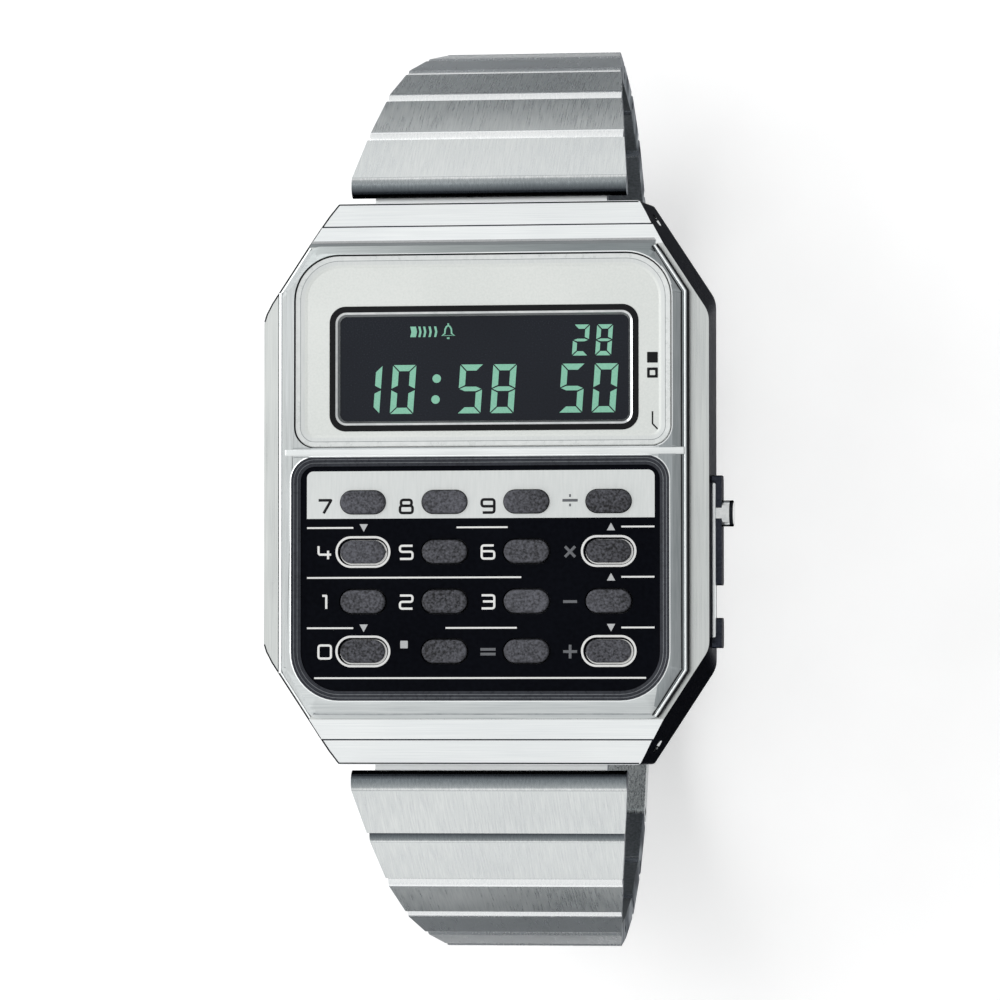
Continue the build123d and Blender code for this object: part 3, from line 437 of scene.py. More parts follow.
def barPiece(name, spanX, spanY, spanZ, soft, finish):
    # a straight bar with rounded edges between three pairs of limits
    bm = bmesh.new()
    bmesh.ops.create_cube(bm, size=1.0)
    spans = (spanX, spanY, spanZ)
    bmesh.ops.scale(bm, vec=[high - low for low, high in spans], verts=bm.verts)
    bmesh.ops.translate(bm, vec=[(low + high) / 2 for low, high in spans], verts=bm.verts)
    bmesh.ops.bevel(bm, geom=list(bm.edges), offset=soft, segments=3, profile=0.5, affect="EDGES", material=-1)
    return finishMesh(name, bm, [finish], "case")


# the bright ledge along the flank above the buttons
barPiece("flank_ledge", caseShape["ledgeX"], caseShape["ledgeY"], caseShape["ledgeZ"], caseShape["ledgeSoft"],
         "satinAcross")
# a dark line of painted shade along the edges of the left corners and of both ends
edgeLines = [([(x, side * y, z) for x, y, z in caseLine], False) for side in (1, -1)]
strokePiece("case_edge_lines", edgeLines, caseShape["lineWidth"], 0.0, "darkSteelAndShade", flat=1.0)
print("case done")


# bezel and the bar between its windows

bezel = {"reach": 15.4, "barY": 2.25, "barHalf": 0.3, "barLow": 58.3, "soft": 0.12, "sink": 0.02, "rail": 14.52,
         "lineHalf": 0.03, "lineAway": 0.05, "lineReach": 14.7, "lineLow": 58.6, "leftOut": 0.36, "topOut": 0.22,
         "foot": ((13.25, 18.0), (15.61, 14.46)), "lit": ((13.09, 17.92), (15.4, 14.42)),
         "crease": ((12.9, 17.86), (15.16, 14.36)), "bottomLine": (13.2, -17.75, 58.83), "bottomWidth": 0.12}
# where one finish of the bezel ends: the outer walls, the top rail and the side rails
bezelFinish = {"wallX": 15.6, "wallY": 18.0, "wallCorner": (0.837, 0.547, 20.7), "topRail": 16.6, "sideRail": 13.4,
               "sideEnd": 15.6}
# which corners of the CAD bezel belong to the keypad's window, the display's window and the crease round the top
bezelParts = {"keypadY": (-16.75, 1.95), "keypadX": (10, 14.35), "displayY": (2.5, 17.32), "displayX": 14.42,
              "arcAt": (10.9, 13.8), "arcReach": 3.54, "creaseX": 12.4, "creaseY": 16.9, "railX": (14.6, 15.2),
              "topFrom": 14}
# how far the left and right sides of the keypad's window stand from the CAD panel's
keyShift = {"left": -0.56, "right": -0.12}
# how far the display's window reaches out, and past which x and y it does
windowShift = {"left": -0.27, "leftOf": -8, "top": 0.13, "above": 10}


def pickBezel(spot, normal):
    x, y = abs(spot.x), abs(spot.y)
    perX, perY, reach = bezelFinish["wallCorner"]
    outside = x > bezelFinish["wallX"] or y > bezelFinish["wallY"] or perX * x + perY * y > reach
    if abs(normal.z) < 0.3 and outside:
        return 3
    if spot.y > bezelFinish["topRail"] and spot.x < bezelFinish["sideRail"]:
        return 4
    if spot.x > bezelFinish["sideRail"]:
        return 2
    return 0 if x > bezelFinish["sideRail"] and y < bezelFinish["sideEnd"] else 1


def widerWindow(x, y):
    # the display's window reaches a little further out at the left and the top than the CAD's
    return (x + (windowShift["left"] if x < windowShift["leftOf"] else 0),
            y + (windowShift["top"] if y > windowShift["above"] else 0))


def shapeBezel(corner):
    # the left side of the keypad's window reaches further out, and the right rail slopes over its whole width
    place = corner.co
    x, y, onFace = abs(place.x), place.y, place.z > levels["face"] - 0.01
    (padLow, padHigh), (padNear, padFar) = bezelParts["keypadY"], bezelParts["keypadX"]
    (low, high), (arcX, arcY) = bezelParts["displayY"], bezelParts["arcAt"]
    inArc = math.hypot(max(x - arcX, 0), max(y - arcY, 0)) < bezelParts["arcReach"]
    if padLow < y < padHigh and padNear < x < padFar:
        place.x += keyShift["left" if place.x < 0 else "right"]
    elif low < y < high and x < bezelParts["displayX"] and inArc:
        place.x, place.y = widerWindow(place.x, place.y)
    elif onFace and max(x - bezelParts["creaseX"], abs(y) - bezelParts["creaseY"]) > 0:
        # the crease round the top: narrow slopes at the left and the top, a broad one at the right
        if place.x < -bezelParts["creaseX"]:
            place.x -= bezel["leftOut"]
        elif bezelParts["railX"][0] < place.x < bezelParts["railX"][1]:
            place.x = bezel["rail"]
        if y > bezelParts["topFrom"]:
            place.y += bezel["topOut"]
    if onFace:
        place.z -= bezel["sink"]


# the bezel's outer walls take the chrome with a painted dark reflection
dressNode("front_bezel", ["bezelAlong", "bezelAcross", "bezelShade", "darkReflectionChrome", "topRail"], pickBezel,
          adjust=shapeBezel, merge=False)
barSpan = (bezel["barY"] - bezel["barHalf"], bezel["barY"] + bezel["barHalf"])
barPiece("bezel_bar", (-bezel["reach"], bezel["reach"]), barSpan, (bezel["barLow"], levels["face"]), bezel["soft"],
         "barSatin")

# thin shaded lines beside the bar
beside = []
for side in (1, -1):
    x, y = bezel["lineReach"], bezel["barY"] + side * (bezel["barHalf"] + bezel["lineAway"])
    low, high = y - bezel["lineHalf"], y + bezel["lineHalf"]
    beside.append([(-x, low), (x, low), (x, high), (-x, high)])
flatPiece("bezel_bar_lines", beside, bezel["lineLow"], levels["face"] - 0.005, "lensLine")
# down the right side, where the bezel meets the case, a dark seam, a line of painted shade in the crease and a painted
# highlight on the lit edge: name, the line it follows, width, height, flatness, finish
for name, key, width, level, flat, finish in (("bezel_seam_right", "foot", 0.17, 58.68, 0.4, "blackPrintAndShade"),
                                              ("bezel_crease_right", "crease", 0.1, 58.9, 0.4, "blackPrintAndShade"),
                                              ("bezel_edge_right", "lit", 0.14, 58.82, 0.6, "satinAcross")):
    (endX, endY), (sideX, sideY) = bezel[key]
    line = [(endX, endY), (sideX, sideY), (sideX, -sideY), (endX, -endY)]
    strokePiece(name, [(line, False)], width, level, finish, flat=flat)

# at the left a bright strip lies between the bezel and the case, with a fine line outside it
edgeLevel = levels["plate"] + 0.03
for name, lines, width, flat, finish in (
        ("bezel_seam_left", [[(-16.0, 14.5), (-16.0, -14.5)]], 0.08, 0.4, "blackPrintAndShade"),
        ("bezel_edge_left", [[(-15.84, 14.6), (-15.84, -14.6)]], 0.3, 0.3, "satinAcross"),
        ("bezel_edge_corners", [[(-13.53, 18.0), (-15.76, 14.59)], [(-13.53, -18.0), (-15.76, -14.59)]], 0.18, 0.3,
         "satinAcross")):
    strokePiece(name, [(line, False) for line in lines], width, edgeLevel, finish, flat=flat)

# above the top rail, strips of painted light and shade stand for the steel stepping down through grey, and a fine
# shaded line runs along the bottom rail
# the left ends of the steps lie on x = leftAt + leftPerY * y, along the bezel's cut corner
topStep = {"leftAt": -24.15, "leftPerY": 0.58, "right": 13.1, "taper": 0.1, "down": 0.1, "up": 0.04}
for name, low, high, finish in (("bezel_top_step", 18.36, 18.56, "paleGreyPrintAndShade"),
                                ("bezel_top_shade", 18.1, 18.38, "topShade")):
    leftLow, leftHigh = [topStep["leftPerY"] * y + topStep["leftAt"] for y in (low, high)]
    outline = [(leftLow, low), (topStep["right"], low), (topStep["right"] - topStep["taper"], high), (leftHigh, high)]
    flatPiece(name, [outline], levels["plate"] - topStep["down"], levels["plate"] + topStep["up"], finish)
lineReach, lineY, lineLevel = bezel["bottomLine"]
strokePiece("bezel_bottom_line", [([(-lineReach, lineY), (lineReach, lineY)], False)], bezel["bottomWidth"], lineLevel,
            "lensLine")
print("bezel done")


# display window: silver print, black frame line, dark field and figures

window = {"width": 28.8, "top": 17.3, "bottom": 2.6, "upper": 3.5, "lower": 1.6, "plate": 58.8, "field": 58.5,
          "outlineShift": 0.035, "litFrom": -9}
view = {"centre": (-0.04, 8.66), "width": 23.8, "height": 9.58, "radius": 1.25, "tighten": 0.9, "low": 58.4,
        "field": 0.7, "fieldLow": 58.3}


def windowEdge(gap):
    return [widerWindow(x, y) for x, y in roundedWindow(window["width"], window["top"], window["bottom"],
                                                        window["upper"], window["lower"], gap)]


def viewBox(inset):
    return roundedBox(view["centre"], view["width"] - 2 * inset, view["height"] - 2 * inset,
                      view["radius"] - inset * view["tighten"])


plate = flatPiece("display_plate", [windowEdge(0.06), viewBox(0.02)], levels["plate"], window["plate"],
                  "silverPrint")
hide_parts("display_window")
# the dark outline of the window is painted shade, strongest at the upper left
ringLow = levels["plate"] + 0.05
outlineInner = [(x + window["outlineShift"], y - window["outlineShift"]) for x, y in windowEdge(0.1)]
ringPiece("window_outline", windowEdge(0.02), outlineInner, ringLow, 58.9, 58.86, "blackPrintAndShade")
# the lit edge of the bezel round the window, thinner at the left
litOuter = [wide if wide[0] > window["litFrom"] else thin for wide, thin in zip(windowEdge(-0.14), windowEdge(-0.02))]
ringPiece("window_lit_edge", litOuter, windowEdge(0.0), 58.8, 59.0, 59.027, "satinAcross")
# rings of the window and of the display's frame: name, inset and height of the outer edge, then of the inner edge
for name, outer, highOuter, inner, highInner, finish in (
        ("window_step_outer", 0.12, 58.9, 0.46, 58.87, "lens"),
        ("window_step_line", 0.46, 58.86, 0.51, 58.86, "lensLine"),
        ("window_step_middle", 0.51, 58.87, 0.8, 58.84, "silverStrip"),
        ("window_step_inner", 0.8, 58.84, 1.0, 58.81, "silverPrint")):
    ringPiece(name, windowEdge(outer), windowEdge(inner), ringLow, highOuter, highInner, finish)
for name, outer, highOuter, inner, highInner, finish in (
        ("display_frame_line", 0.0, 58.83, 0.46, 58.83, "blackPrintAndShade"),
        ("display_frame_bright", 0.46, 58.81, 0.62, 58.76, "polished"),
        ("display_frame_inner", 0.62, 58.76, 0.78, 58.52, "bezelAcross")):
    ringPiece(name, viewBox(outer), viewBox(inner), view["low"], highOuter, highInner, finish)
flatPiece("display_field", [viewBox(view["field"])], view["fieldLow"], window["field"], "display")

figures = {"tall": 3.74, "wide": 1.8, "stroke": 0.47, "base": 5.21, "gap": 0.045, "lean": math.tan(math.radians(4)),
           "smallTall": 2.37, "smallWide": 1.22, "smallStroke": 0.33, "smallBase": 9.56, "mitre": 1.4, "dot": 0.33}
# the pointed bars beside the bell: heights of foot, tip and top, and how far the tip stands out
pointedBars = {"foot": 11.08, "tip": 11.48, "top": 11.89, "out": 0.09}
segmentsOf = {"0": "abcdef", "1": "bc", "2": "abdeg", "5": "acdfg", "8": "abcdefg"}


def figureOutlines(figure, x, base, wide, tall, stroke):
    # the lit bars of one seven-bar figure, with mitred ends and hairline gaps
    k = figures["gap"] * figures["mitre"]
    half = tall / 2
    bars = {
        "a": [(k, tall), (wide - k, tall), (wide - stroke - k, tall - stroke), (stroke + k, tall - stroke)],
        "d": [(k, 0), (stroke + k, stroke), (wide - stroke - k, stroke), (wide - k, 0)],
        "f": [(0, tall - k), (stroke, tall - stroke - k), (stroke, half + stroke / 2 + k), (0, half + k)],
        "b": [(wide, tall - k), (wide, half + k), (wide - stroke, half + stroke / 2 + k),
              (wide - stroke, tall - stroke - k)],
        "e": [(0, half - k), (stroke, half - stroke / 2 - k), (stroke, stroke + k), (0, k)],
        "c": [(wide, half - k), (wide, k), (wide - stroke, stroke + k), (wide - stroke, half - stroke / 2 - k)],
        "g": [(k, half), (stroke, half + stroke / 2 - k), (wide - stroke, half + stroke / 2 - k), (wide - k, half),
              (wide - stroke, half - stroke / 2 + k), (stroke, half - stroke / 2 + k)],
    }
    return [[(x + px + py * figures["lean"], base + py) for px, py in bars[letter]]
            for letter in segmentsOf[figure]]


lit = []
for figure, x in (("1", -9.94), ("0", -7.32), ("5", -2.12), ("8", 0.42), ("5", 5.69), ("0", 8.23)):
    lit += figureOutlines(figure, x, figures["base"], figures["wide"], figures["tall"], figures["stroke"])
for figure, x in (("2", 6.72), ("8", 8.5)):
    lit += figureOutlines(figure, x, figures["smallBase"], figures["smallWide"], figures["smallTall"],
                          figures["smallStroke"])
for centre in ((-3.69, 7.89), (-3.78, 6.29)):
    lit.append(arcPoints(centre, figures["dot"], 0, 345, 23))
foot, tip, top, out = (pointedBars[part] for part in ("foot", "tip", "top", "out"))
for left, right in ((-5.74, -5.3), (-5.12, -4.95), (-4.75, -4.58), (-4.33, -4.16), (-3.9, -3.73)):
    lit.append([(left, foot), (right, foot), (right + out, tip), (right, top), (left, top), (left + out, tip)])
flatPiece("display_figures", lit, window["field"] - 0.01, window["field"] + 0.02, "mint")
bell = [(-3.28, 11.18), (-3.06, 11.34), (-3.04, 11.66), (-2.94, 11.86), (-2.8, 11.95), (-2.66, 11.86),
        (-2.56, 11.66), (-2.54, 11.34), (-2.32, 11.18)]
strokePiece("display_bell", [(bell, True), ([(-2.8, 11.95), (-2.8, 12.12)], False),
                             ([(-2.9, 10.98), (-2.7, 10.98)], False)], 0.13, window["field"] + 0.01, "mint")

# small marks at the right of the display: a filled square, an open one and a bent line
sideMarks = [roundedBox((12.92, 9.36), 0.82, 0.82, 0.04, 2), roundedBox((12.92, 8.19), 0.82, 0.78, 0.04, 2),
             roundedBox((12.92, 8.19), 0.42, 0.38, 0.03, 2)]
flatPiece("window_squares", sideMarks, window["plate"] - 0.02, window["plate"] + 0.015, "blackPrintAndShade")
strokePiece("window_bent_line", [([(12.92, 5.25), (12.92, 4.3), (13.48, 3.72)], False)], 0.13, window["plate"],
            "blackPrintAndShade")
print("display done")


# keypad: panel, stepped rim, silver strip, key rings, rules and labels

pad = {"width": 28.6, "top": 1.9, "bottom": -16.7, "upper": 1.8, "lower": 3.7, "strip": 58.76, "ink": 58.735,
       "rimLow": 58.6, "inkLow": 58.7}
keys = {"columns": [-9.35, -3.05, 3.25, 9.55], "rows": [-1.56, -5.36, -9.16, -12.96], "length": 3.452,
        "height": 1.748, "labelShift": -2.95, "labelWide": 0.97, "labelTall": 1.0, "stroke": 0.17, "bold": 0.21,
        "firstDrop": 0.33, "drop": 0.04, "divideLift": 0.4}
# the printed ring and the lit edge of the hole: length and height of the outer and the inner outline, and the top
keyRing = {"outer": (4.25, 2.42), "inner": (3.91, 2.08), "top": 58.748}
keyHole = {"outer": (3.63, 1.88), "inner": (3.47, 1.76), "top": 58.745, "shift": (0.07, -0.05)}
stripShape = {"left": -13.69, "right": 13.07, "bottom": -2.81, "arcs": ((12.57, 0.32), (-13.19, 0.32)), "radius": 0.5,
              "clear": 0.12}
marks = {"ruleHalf": 0.065, "pointerHalf": 0.32, "pointerFoot": 0.28, "pointerTip": 0.3}


def padOutline(gap):
    return [(x + keyShift["left" if x < 0 else "right"], y)
            for x, y in roundedWindow(pad["width"], pad["top"], pad["bottom"], pad["upper"], pad["lower"], gap)]


dressNode("keypad_panel", ["panel"])
for number, (gapOuter, gapInner, level, finish) in enumerate(
        ((-0.04, 0.16, 59.02, "panelRim"), (0.16, 0.21, 59.0, "rimLine"), (0.21, 0.42, 58.96, "panelRim"),
         (0.42, 0.47, 58.93, "rimLine"), (0.47, 0.7, 58.88, "panelRim"), (0.7, 1.2, 58.75, "panel"))):
    ringPiece(f"keypad_rim_{number + 1}", padOutline(gapOuter), padOutline(gapInner), pad["rimLow"], level,
              level - 0.02, finish)

# the lit edge of the bezel round the keypad
ringPiece("keypad_lit_edge", padOutline(-0.16), padOutline(-0.03), 58.8, 59.0, 59.025, "satinAcross")

stripTop = []
for number, centre in enumerate(stripShape["arcs"]):
    stripTop += arcPoints(centre, stripShape["radius"], 90 * number, 90 * number + 90, 8)
strip = [stripTop + [(stripShape["left"], stripShape["bottom"]), (stripShape["right"], stripShape["bottom"])]]
for x in keys["columns"]:
    strip.append(stadium((x, keys["rows"][0]), keys["length"] + stripShape["clear"],
                         keys["height"] + stripShape["clear"]))
flatPiece("keypad_strip", strip, pad["inkLow"], pad["strip"], "silverStrip")

# a printed ring round four of the keys, and inside it a painted highlight on the lit edge of the key's hole at the
# lower right
for row, column in ((1, 0), (1, 3), (3, 0), (3, 3)):
    x, y = keys["columns"][column], keys["rows"][row]
    for name, shape in (("key_ring", keyRing), ("key_hole_edge", keyHole)):
        shiftX, shiftY = shape.get("shift", (0, 0))
        ringPiece(f"{name}_{row}_{column}", stadium((x + shiftX, y + shiftY), *shape["outer"]),
                  stadium((x, y), *shape["inner"]), pad["inkLow"], shape["top"], shape["top"], "whitePrintAndHighlight")


def roundCorners(points, radius, closed=False, steps=5):
    # a polyline with its corners drawn as arcs
    rounded = []
    count = len(points)
    for i, point in enumerate(points):
        if not closed and i in (0, count - 1):
            rounded.append(point)
            continue
        here = Vector(point)
        before = Vector(points[i - 1]) - here
        after = Vector(points[(i + 1) % count]) - here
        reach = min(radius, before.length * 0.49, after.length * 0.49)
        first, last = here + before.normalized() * reach, here + after.normalized() * reach
        for step in range(steps + 1):
            t = step / steps
            rounded.append(tuple(first * (1 - t) ** 2 + here * 2 * t * (1 - t) + last * t ** 2))
    return rounded


# square technical numerals on a box from -0.5 to 0.5
box = [(-0.5, -0.5), (0.5, -0.5), (0.5, 0.5), (-0.5, 0.5)]
glyphs = {
    "0": [(box, True)],
    "1": [([(-0.2, 0.5), (0.12, 0.5), (0.12, -0.5)], False)],
    "2": [([(-0.5, 0.5), (0.5, 0.5), (0.5, 0.02), (-0.5, 0.02), (-0.5, -0.5), (0.5, -0.5)], False)],
    "3": [([(-0.5, 0.5), (0.5, 0.5), (0.5, -0.5), (-0.5, -0.5)], False), ([(-0.4, 0.03), (0.5, 0.03)], False)],
    "4": [([(-0.5, 0.5), (-0.5, -0.15), (0.5, -0.15)], False), ([(0.26, 0.15), (0.26, -0.5)], False)],
    "5": [([(0.5, 0.5), (-0.5, 0.5), (-0.5, 0.04), (0.5, 0.04), (0.5, -0.5), (-0.5, -0.5)], False)],
    "6": [([(0.45, 0.5), (-0.5, 0.5), (-0.5, -0.5), (0.5, -0.5), (0.5, 0.06), (-0.5, 0.06)], False)],
    "7": [([(-0.5, 0.5), (0.5, 0.5), (-0.1, -0.5)], False)],
    "8": [([(-0.42, 0.05), (0.42, 0.05), (0.42, 0.5), (-0.42, 0.5)], True),
          ([(-0.5, 0.05), (0.5, 0.05), (0.5, -0.5), (-0.5, -0.5)], True)],
    "9": [([(-0.42, -0.5), (0.5, -0.5), (0.5, 0.5), (-0.5, 0.5), (-0.5, -0.02), (0.5, -0.02)], False)],
    "equals": [([(-0.6, 0.18), (0.6, 0.18)], False), ([(-0.6, -0.18), (0.6, -0.18)], False)],
    "plus": [([(-0.55, 0), (0.55, 0)], False), ([(0, -0.52), (0, 0.52)], False)],
    "minus": [([(-0.55, 0), (0.55, 0)], False)],
    "times": [([(-0.4, -0.4), (0.4, 0.4)], False), ([(-0.4, 0.4), (0.4, -0.4)], False)],
    "divide": [([(-0.6, 0), (0.6, 0)], False), ([(-0.07, 0.36), (0.07, 0.36)], False),
               ([(-0.07, -0.36), (0.07, -0.36)], False)],
}
roundness = {"1": 0.02, "4": 0.16, "7": 0.03}
layout = [["7", "8", "9", "divide"], ["4", "5", "6", "times"], ["1", "2", "3", "minus"], ["0", None, "equals", "plus"]]
# each ink has its own level and stroke: bold black and grey on the silver strip, white and grey on the panel
inks = {"bold_black": ("blackPrintAndShade", "bold", "strip"), "bold_grey": ("greyPrint", "bold", "strip"),
        "white": ("whitePrintAndHighlight", "stroke", "ink"), "grey": ("greyPrint", "bold", "ink")}
written = {ink: [] for ink in inks}
for row, labels in enumerate(layout):
    for column, mark in enumerate(labels):
        if mark is None:
            continue
        x = keys["columns"][column] + keys["labelShift"]
        drop = keys["firstDrop" if row == 0 else "drop"]
        y = keys["rows"][row] - drop + (keys["divideLift"] if mark == "divide" else 0)
        ink = ("bold_" if row == 0 else "") + ("black" if row == 0 and mark.isdigit() else
                                              "white" if mark.isdigit() else "grey")
        for points, closed in glyphs[mark]:
            placed = [(x + px * keys["labelWide"], y + py * keys["labelTall"]) for px, py in points]
            written[ink].append((roundCorners(placed, roundness.get(mark, 0.2), closed), closed))
for ink, (finish, stroke, level) in inks.items():
    strokePiece("labels_" + ink, written[ink], keys[stroke], pad[level] + 0.002, finish)

rules, pointers = [], []
for y, spans in ((-3.51, ((-13.68, -10.1), (-2.12, 1.81), (10.52, 13.05))),
                 (-7.33, ((-13.68, 2.85), (10.52, 13.05))),
                 (-11.18, ((-13.68, -10.1), (-2.97, 2.51), (10.52, 13.05))),
                 (-15.0, ((-13.12, 12.4),))):
    low, high = y - marks["ruleHalf"], y + marks["ruleHalf"]
    for left, right in spans:
        rules.append([(left, low), (right, low), (right, high), (left, high)])
for x, y, way in ((-9.29, -3.51, -1), (9.73, -3.51, 1), (9.73, -7.33, 1), (-9.29, -11.18, -1), (9.73, -11.18, -1)):
    foot = y - marks["pointerFoot"] * way
    pointers.append([(x - marks["pointerHalf"], foot), (x + marks["pointerHalf"], foot),
                     (x, y + marks["pointerTip"] * way)])
pointers.append(roundedBox((-6.17, -12.44), 0.58, 0.58, 0.03, 2))
for name, outlines, finish in (("keypad_rules", rules, "whitePrintAndHighlight"), ("keypad_pointers", pointers, "paleGreyPrintAndShade")):
    flatPiece(name, outlines, pad["inkLow"], pad["ink"] + 0.01, finish)
print("keypad done")


# keys and buttons

button = {"y": -2.4, "z": 54.83, "rimRadius": 1.01, "collar": (18.44, 18.745), "soft": 0.07, "keySoft": 0.11}


def keyEdge(a, b):
    return min(a.z, b.z) > levels["panel"]


for node in frame["nodes"]:
    if node.startswith("key_"):
        dressNode(node, ["key"], bevel=button["keySoft"], rule=keyEdge, segments=3)
# the button's faces towards 12 and 6 o'clock take painted shade
dressNode("mode_button", ["polished", "darkSteelAndShade"], lambda spot, normal: int(abs(normal.y) > 0.9))
dressNode("adjust_button", ["polished"])

# the dark rounded rim at the outer end of the push button
bm = bmesh.new()
inside, outside = button["collar"]
bmesh.ops.create_cone(bm, cap_ends=True, segments=48, radius1=button["rimRadius"], radius2=button["rimRadius"],
                      depth=outside - inside)
bmesh.ops.rotate(bm, cent=(0, 0, 0), matrix=Matrix.Rotation(math.radians(90), 3, "Y"), verts=bm.verts)
bmesh.ops.translate(bm, vec=((inside + outside) / 2, button["y"], button["z"]), verts=bm.verts)
rim = [edge for edge in bm.edges if edge.calc_face_angle(0.0) > math.radians(60)]
bmesh.ops.bevel(bm, geom=rim, offset=button["soft"], segments=3, profile=0.5, affect="EDGES", material=-1)
finishMesh("mode_button_rim", bm, ["darkSteelAndShade"], "mode_button")
print("keys and buttons done")


# bracelet

band = {"half": 0.9, "slabEnd": 5.15, "headings": [50, 55.5, 66, 75, 80, 93, 107, 121, 135, 149],
        "pins": [(22.95, 55.53), (26.94, 50.78), (30.45, 45.67), (32.97, 40.01), (34.57, 34.02), (35.65, 27.91),
                 (35.33, 21.72), (33.51, 15.79), (30.32, 10.48), (25.94, 6.09)],
        "startWidth": 21.3, "endWidth": 13.6, "steps": 5.5, "share": 0.55, "soft": 0.13, "slotClear": 0.2,
        "slotReach": 1.3, "slotHigh": 0.85, "neckStart": -0.95, "pinClear": 0.5, "rollBelow": 0.15, "rollAbove": 0.05}


def finishLink(node, side, index):
    out, up = band["pins"][index]
    turn = math.radians(band["headings"][index])
    start = Vector((0, side * out, up))
    way = Vector((0, side * math.cos(turn), -math.sin(turn)))
    outward = Vector((0, side * math.sin(turn), math.cos(turn)))
    width = band["startWidth"] - (band["startWidth"] - band["endWidth"]) * min(index, band["steps"]) / band["steps"]
    slotHalf = band["share"] * width / 2 + band["slotClear"]

    def linkEdge(a, b):
        for point in (a, b):
            s, t = (point - start).dot(way), (point - start).dot(outward)
            fromPin = math.hypot(s, t)
            inSlot = abs(point.x) < slotHalf and fromPin < band["slotReach"] and t < band["slotHigh"]
            beyond = s > band["slabEnd"] + 0.02 or index == 0 and s < band["neckStart"]
            if inSlot or beyond or fromPin < band["pinClear"]:
                return False
        return True

    def pickLink(spot, normal):
        s, t = (spot - start).dot(way), (spot - start).dot(outward)
        if abs(normal.x) > 0.7:
            return 3
        if s < 0 and -band["rollBelow"] < math.hypot(s, t) - band["half"] < band["rollAbove"]:
            return 2
        if index == 0 and normal.z > 0.9:
            return 4
        return 0 if normal.dot(outward) > 0.15 else 1

    face = "link" if index < 3 else "linkFar"
    rolled = "rollFirst" if index == 0 else "rollSecond" if index == 1 and side < 0 else "rollBright"
    dressNode(node, [face, "linkSide", rolled, "bandSide", "satinAcross"], pickLink, band["soft"], linkEdge, 2,
              along=(start, way, outward))


for index in range(10):
    finishLink(f"link_12_{index + 1:02d}", 1, index)
    if index < 9:
        finishLink(f"link_6_{index + 1:02d}", -1, index)
dressNode("band_tail", ["clasp"])
print("bracelet done")


# clasp and back

# how far each piece's edges are softened
softness = {"clasp_cover": 0.08, "clasp_slider": 0.05, "clasp_blade": 0.05, "back_cover": 0.0, "clasp_lock": 0.06}
for node, soft in softness.items():
    dressNode(node, ["polished" if node == "clasp_lock" else "clasp"], bevel=soft)

plain = {"lcd_glass": "display", "keypad_mat": "mat", "module_frame": "module", "circuit_board": "board",
         "connector_strips": "mat", "battery": "nickel", "side_contacts": "polished", "buzzer": "brass",
         "back_gasket": "mat", "back_screws": "polished", "lug_spring_bars": "polished",
         "clasp_spring_bar": "polished", "clasp_pins": "polished"}
for node, finish in plain.items():
    frame["nodes"][node].data.materials[0] = paint[finish]
print("clasp, back and module done")


# floor, light and camera

# sizes and places in metres, the lift as a share of white, the lamp in watts; the card at 6 o'clock is the lower one
stage = {"floorHalf": 3.0, "floorLift": 0.2, "cardWide": 0.11, "cardAway": 0.047, "cardTall": {1: 0.043, -1: 0.036},
         "lampSize": 0.55, "lampEnergy": 1.6, "lampPlace": (-0.5, 0.22, 0.75)}
dome = {"horizon": 0.85, "overhead": 0.92, "reach": 0.55, "rightFade": -0.42}


def stagePiece(name, bm, material, hiddenFrom=()):
    mesh = bpy.data.meshes.new(name)
    bm.to_mesh(mesh)
    bm.free()
    mesh.materials.append(material)
    piece = bpy.data.objects.new(name, mesh)
    bpy.context.scene.collection.objects.link(piece)
    for ray in hiddenFrom:
        setattr(piece, "visible_" + ray, False)


floorMaterial = surface("Matt white floor", "f6f6f6", "fafafa", 0.0, (0.85, 0.95), (0.05, 0.05, 0.05))
tree = floorMaterial.node_tree
# the floor's own colour stays white where the camera or a reflection sees it, and still takes the shadow
path = addNode(tree, "LightPath", {})
seen = addNode(tree, "Math", {"operation": "ADD"}, [(path.outputs["Is Camera Ray"], 0),
                                                    (path.outputs["Is Glossy Ray"], 1)])
seenAll = addNode(tree, "Math", {"operation": "ADD", "use_clamp": True},
                  [(seen.outputs[0], 0), (path.outputs["Is Transmission Ray"], 1)])
lift = addNode(tree, "Math", {"operation": "MULTIPLY", 1: stage["floorLift"]}, [(seenAll.outputs[0], 0)])
floorShader = tree.nodes["Principled BSDF"]
floorShader.inputs["Emission Color"].default_value = (1, 1, 1, 1)
tree.links.new(lift.outputs[0], floorShader.inputs["Emission Strength"])

bm = bmesh.new()
bmesh.ops.create_grid(bm, x_segments=1, y_segments=1, size=stage["floorHalf"])
stagePiece("floor", bm, floorMaterial)

# two grey cards beyond the ends of the watch, seen in reflections only
cards = {1: surface("Pale grey card", "aeb1b4", "b4b7ba", 0.0, (0.8, 0.9), (0.1, 0.1, 0.1)),
         -1: surface("Grey card", "95989b", "9da0a3", 0.0, (0.8, 0.9), (0.1, 0.1, 0.1))}
for side in (1, -1):
    bm = bmesh.new()
    bmesh.ops.create_grid(bm, x_segments=1, y_segments=1, size=0.5)
    tall = stage["cardTall"][side]
    bmesh.ops.scale(bm, vec=(stage["cardWide"], tall, 1), verts=bm.verts)
    bmesh.ops.rotate(bm, cent=(0, 0, 0), matrix=Matrix.Rotation(math.radians(90), 3, "X"), verts=bm.verts)
    bmesh.ops.translate(bm, vec=(0, side * stage["cardAway"], tall / 2), verts=bm.verts)
    stagePiece("card_" + ("north" if side > 0 else "south"), bm, cards[side],
               ("camera", "diffuse", "shadow", "transmission"))

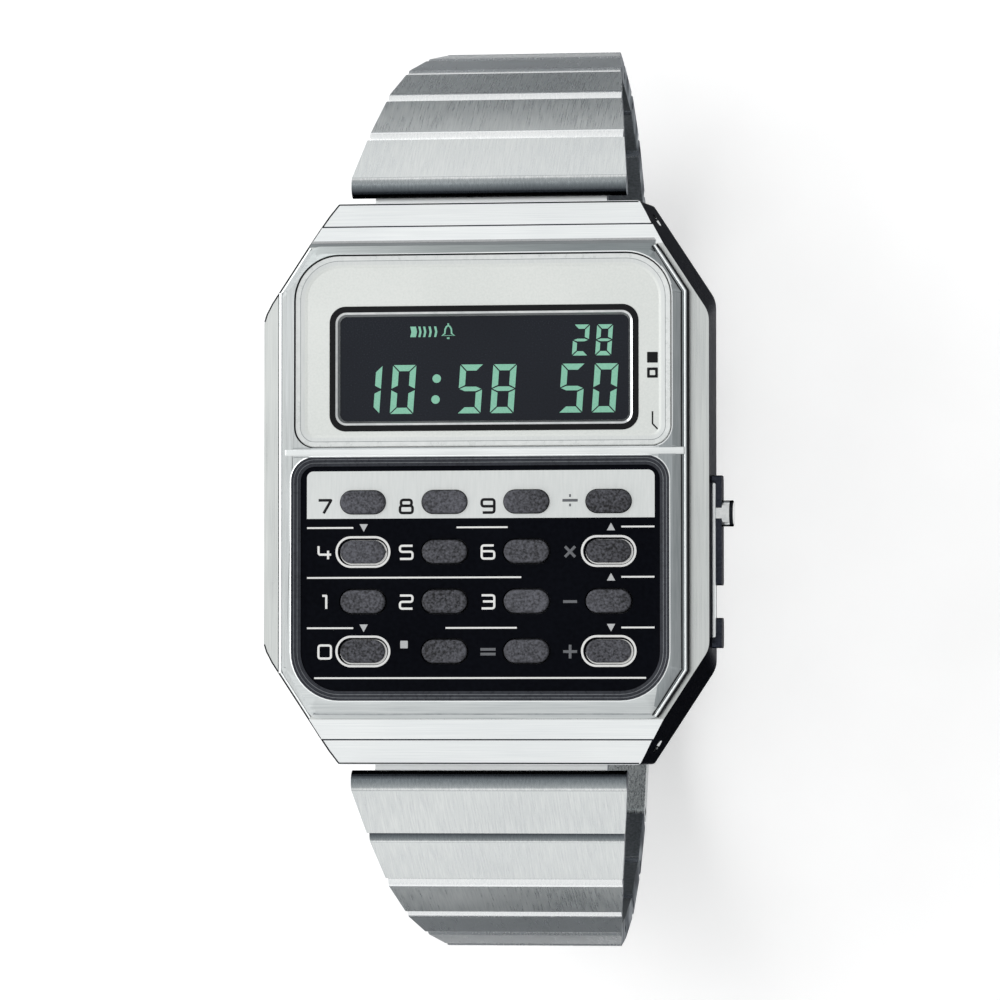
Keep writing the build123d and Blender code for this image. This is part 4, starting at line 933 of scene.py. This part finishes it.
# studio dome: bright overhead, dimmer towards the horizon and the right
world = bpy.data.worlds.new("studio dome")
bpy.context.scene.world = world
world.use_nodes = True
tree = world.node_tree
direction = addNode(tree, "TexCoord", {})
axes = addNode(tree, "SeparateXYZ", {}, [(direction.outputs["Generated"], "Vector")])
climb = addNode(tree, "MapRange", {"interpolation_type": "SMOOTHSTEP", "From Min": 0.0, "From Max": dome["reach"],
                                   "To Min": dome["horizon"], "To Max": dome["overhead"]},
                [(axes.outputs["Z"], "Value")])
sideways = addNode(tree, "Math", {"operation": "MULTIPLY_ADD", 1: dome["rightFade"], 2: 1.0}, [(axes.outputs["X"], 0)])
strength = addNode(tree, "Math", {"operation": "MULTIPLY"}, [(climb.outputs["Result"], 0), (sideways.outputs[0], 1)])
background = tree.nodes["Background"]
background.inputs["Color"].default_value = (1, 1, 1, 1)
tree.links.new(strength.outputs[0], background.inputs["Strength"])

keyLight = bpy.data.lights.new("soft key", "AREA")
keyLight.shape = "SQUARE"
keyLight.size = stage["lampSize"]
keyLight.energy = stage["lampEnergy"]
keyLamp = bpy.data.objects.new("soft key", keyLight)
bpy.context.scene.collection.objects.link(keyLamp)
lampPlace = Vector(stage["lampPlace"])
keyLamp.matrix_world = Matrix.Translation(lampPlace) @ (-lampPlace).to_track_quat("-Z", "Y").to_matrix().to_4x4()

# the camera looks down on the dial, a little from the right and from below
shot = {"distance": 0.415, "right": 7.7, "below": 2.6, "aim": (1.26, -1.45), "lens": 196.0, "sensor": 36.0}
target = Vector((0, 0, levels["face"] * mm))
lean = Vector((math.sin(math.radians(shot["right"])), -math.sin(math.radians(shot["below"])), 0))
lean.z = math.sqrt(1 - lean.length_squared)
eye = target + shot["distance"] * lean
aim = target + Vector((shot["aim"][0] * mm, shot["aim"][1] * mm, 0))
forward = (aim - eye).normalized()
right = forward.cross(Vector((0, 1, 0))).normalized()
up = right.cross(forward)
cameraData = bpy.data.cameras.new("camera")
cameraData.lens = shot["lens"]
cameraData.sensor_width = shot["sensor"]
cameraData.clip_start = 0.01
camera = bpy.data.objects.new("camera", cameraData)
bpy.context.scene.collection.objects.link(camera)
camera.matrix_world = Matrix.Translation(eye) @ Matrix((right, up, -forward)).transposed().to_4x4()
bpy.context.scene.camera = camera
bpy.context.scene.view_settings.view_transform = "Standard"
print("stage done")
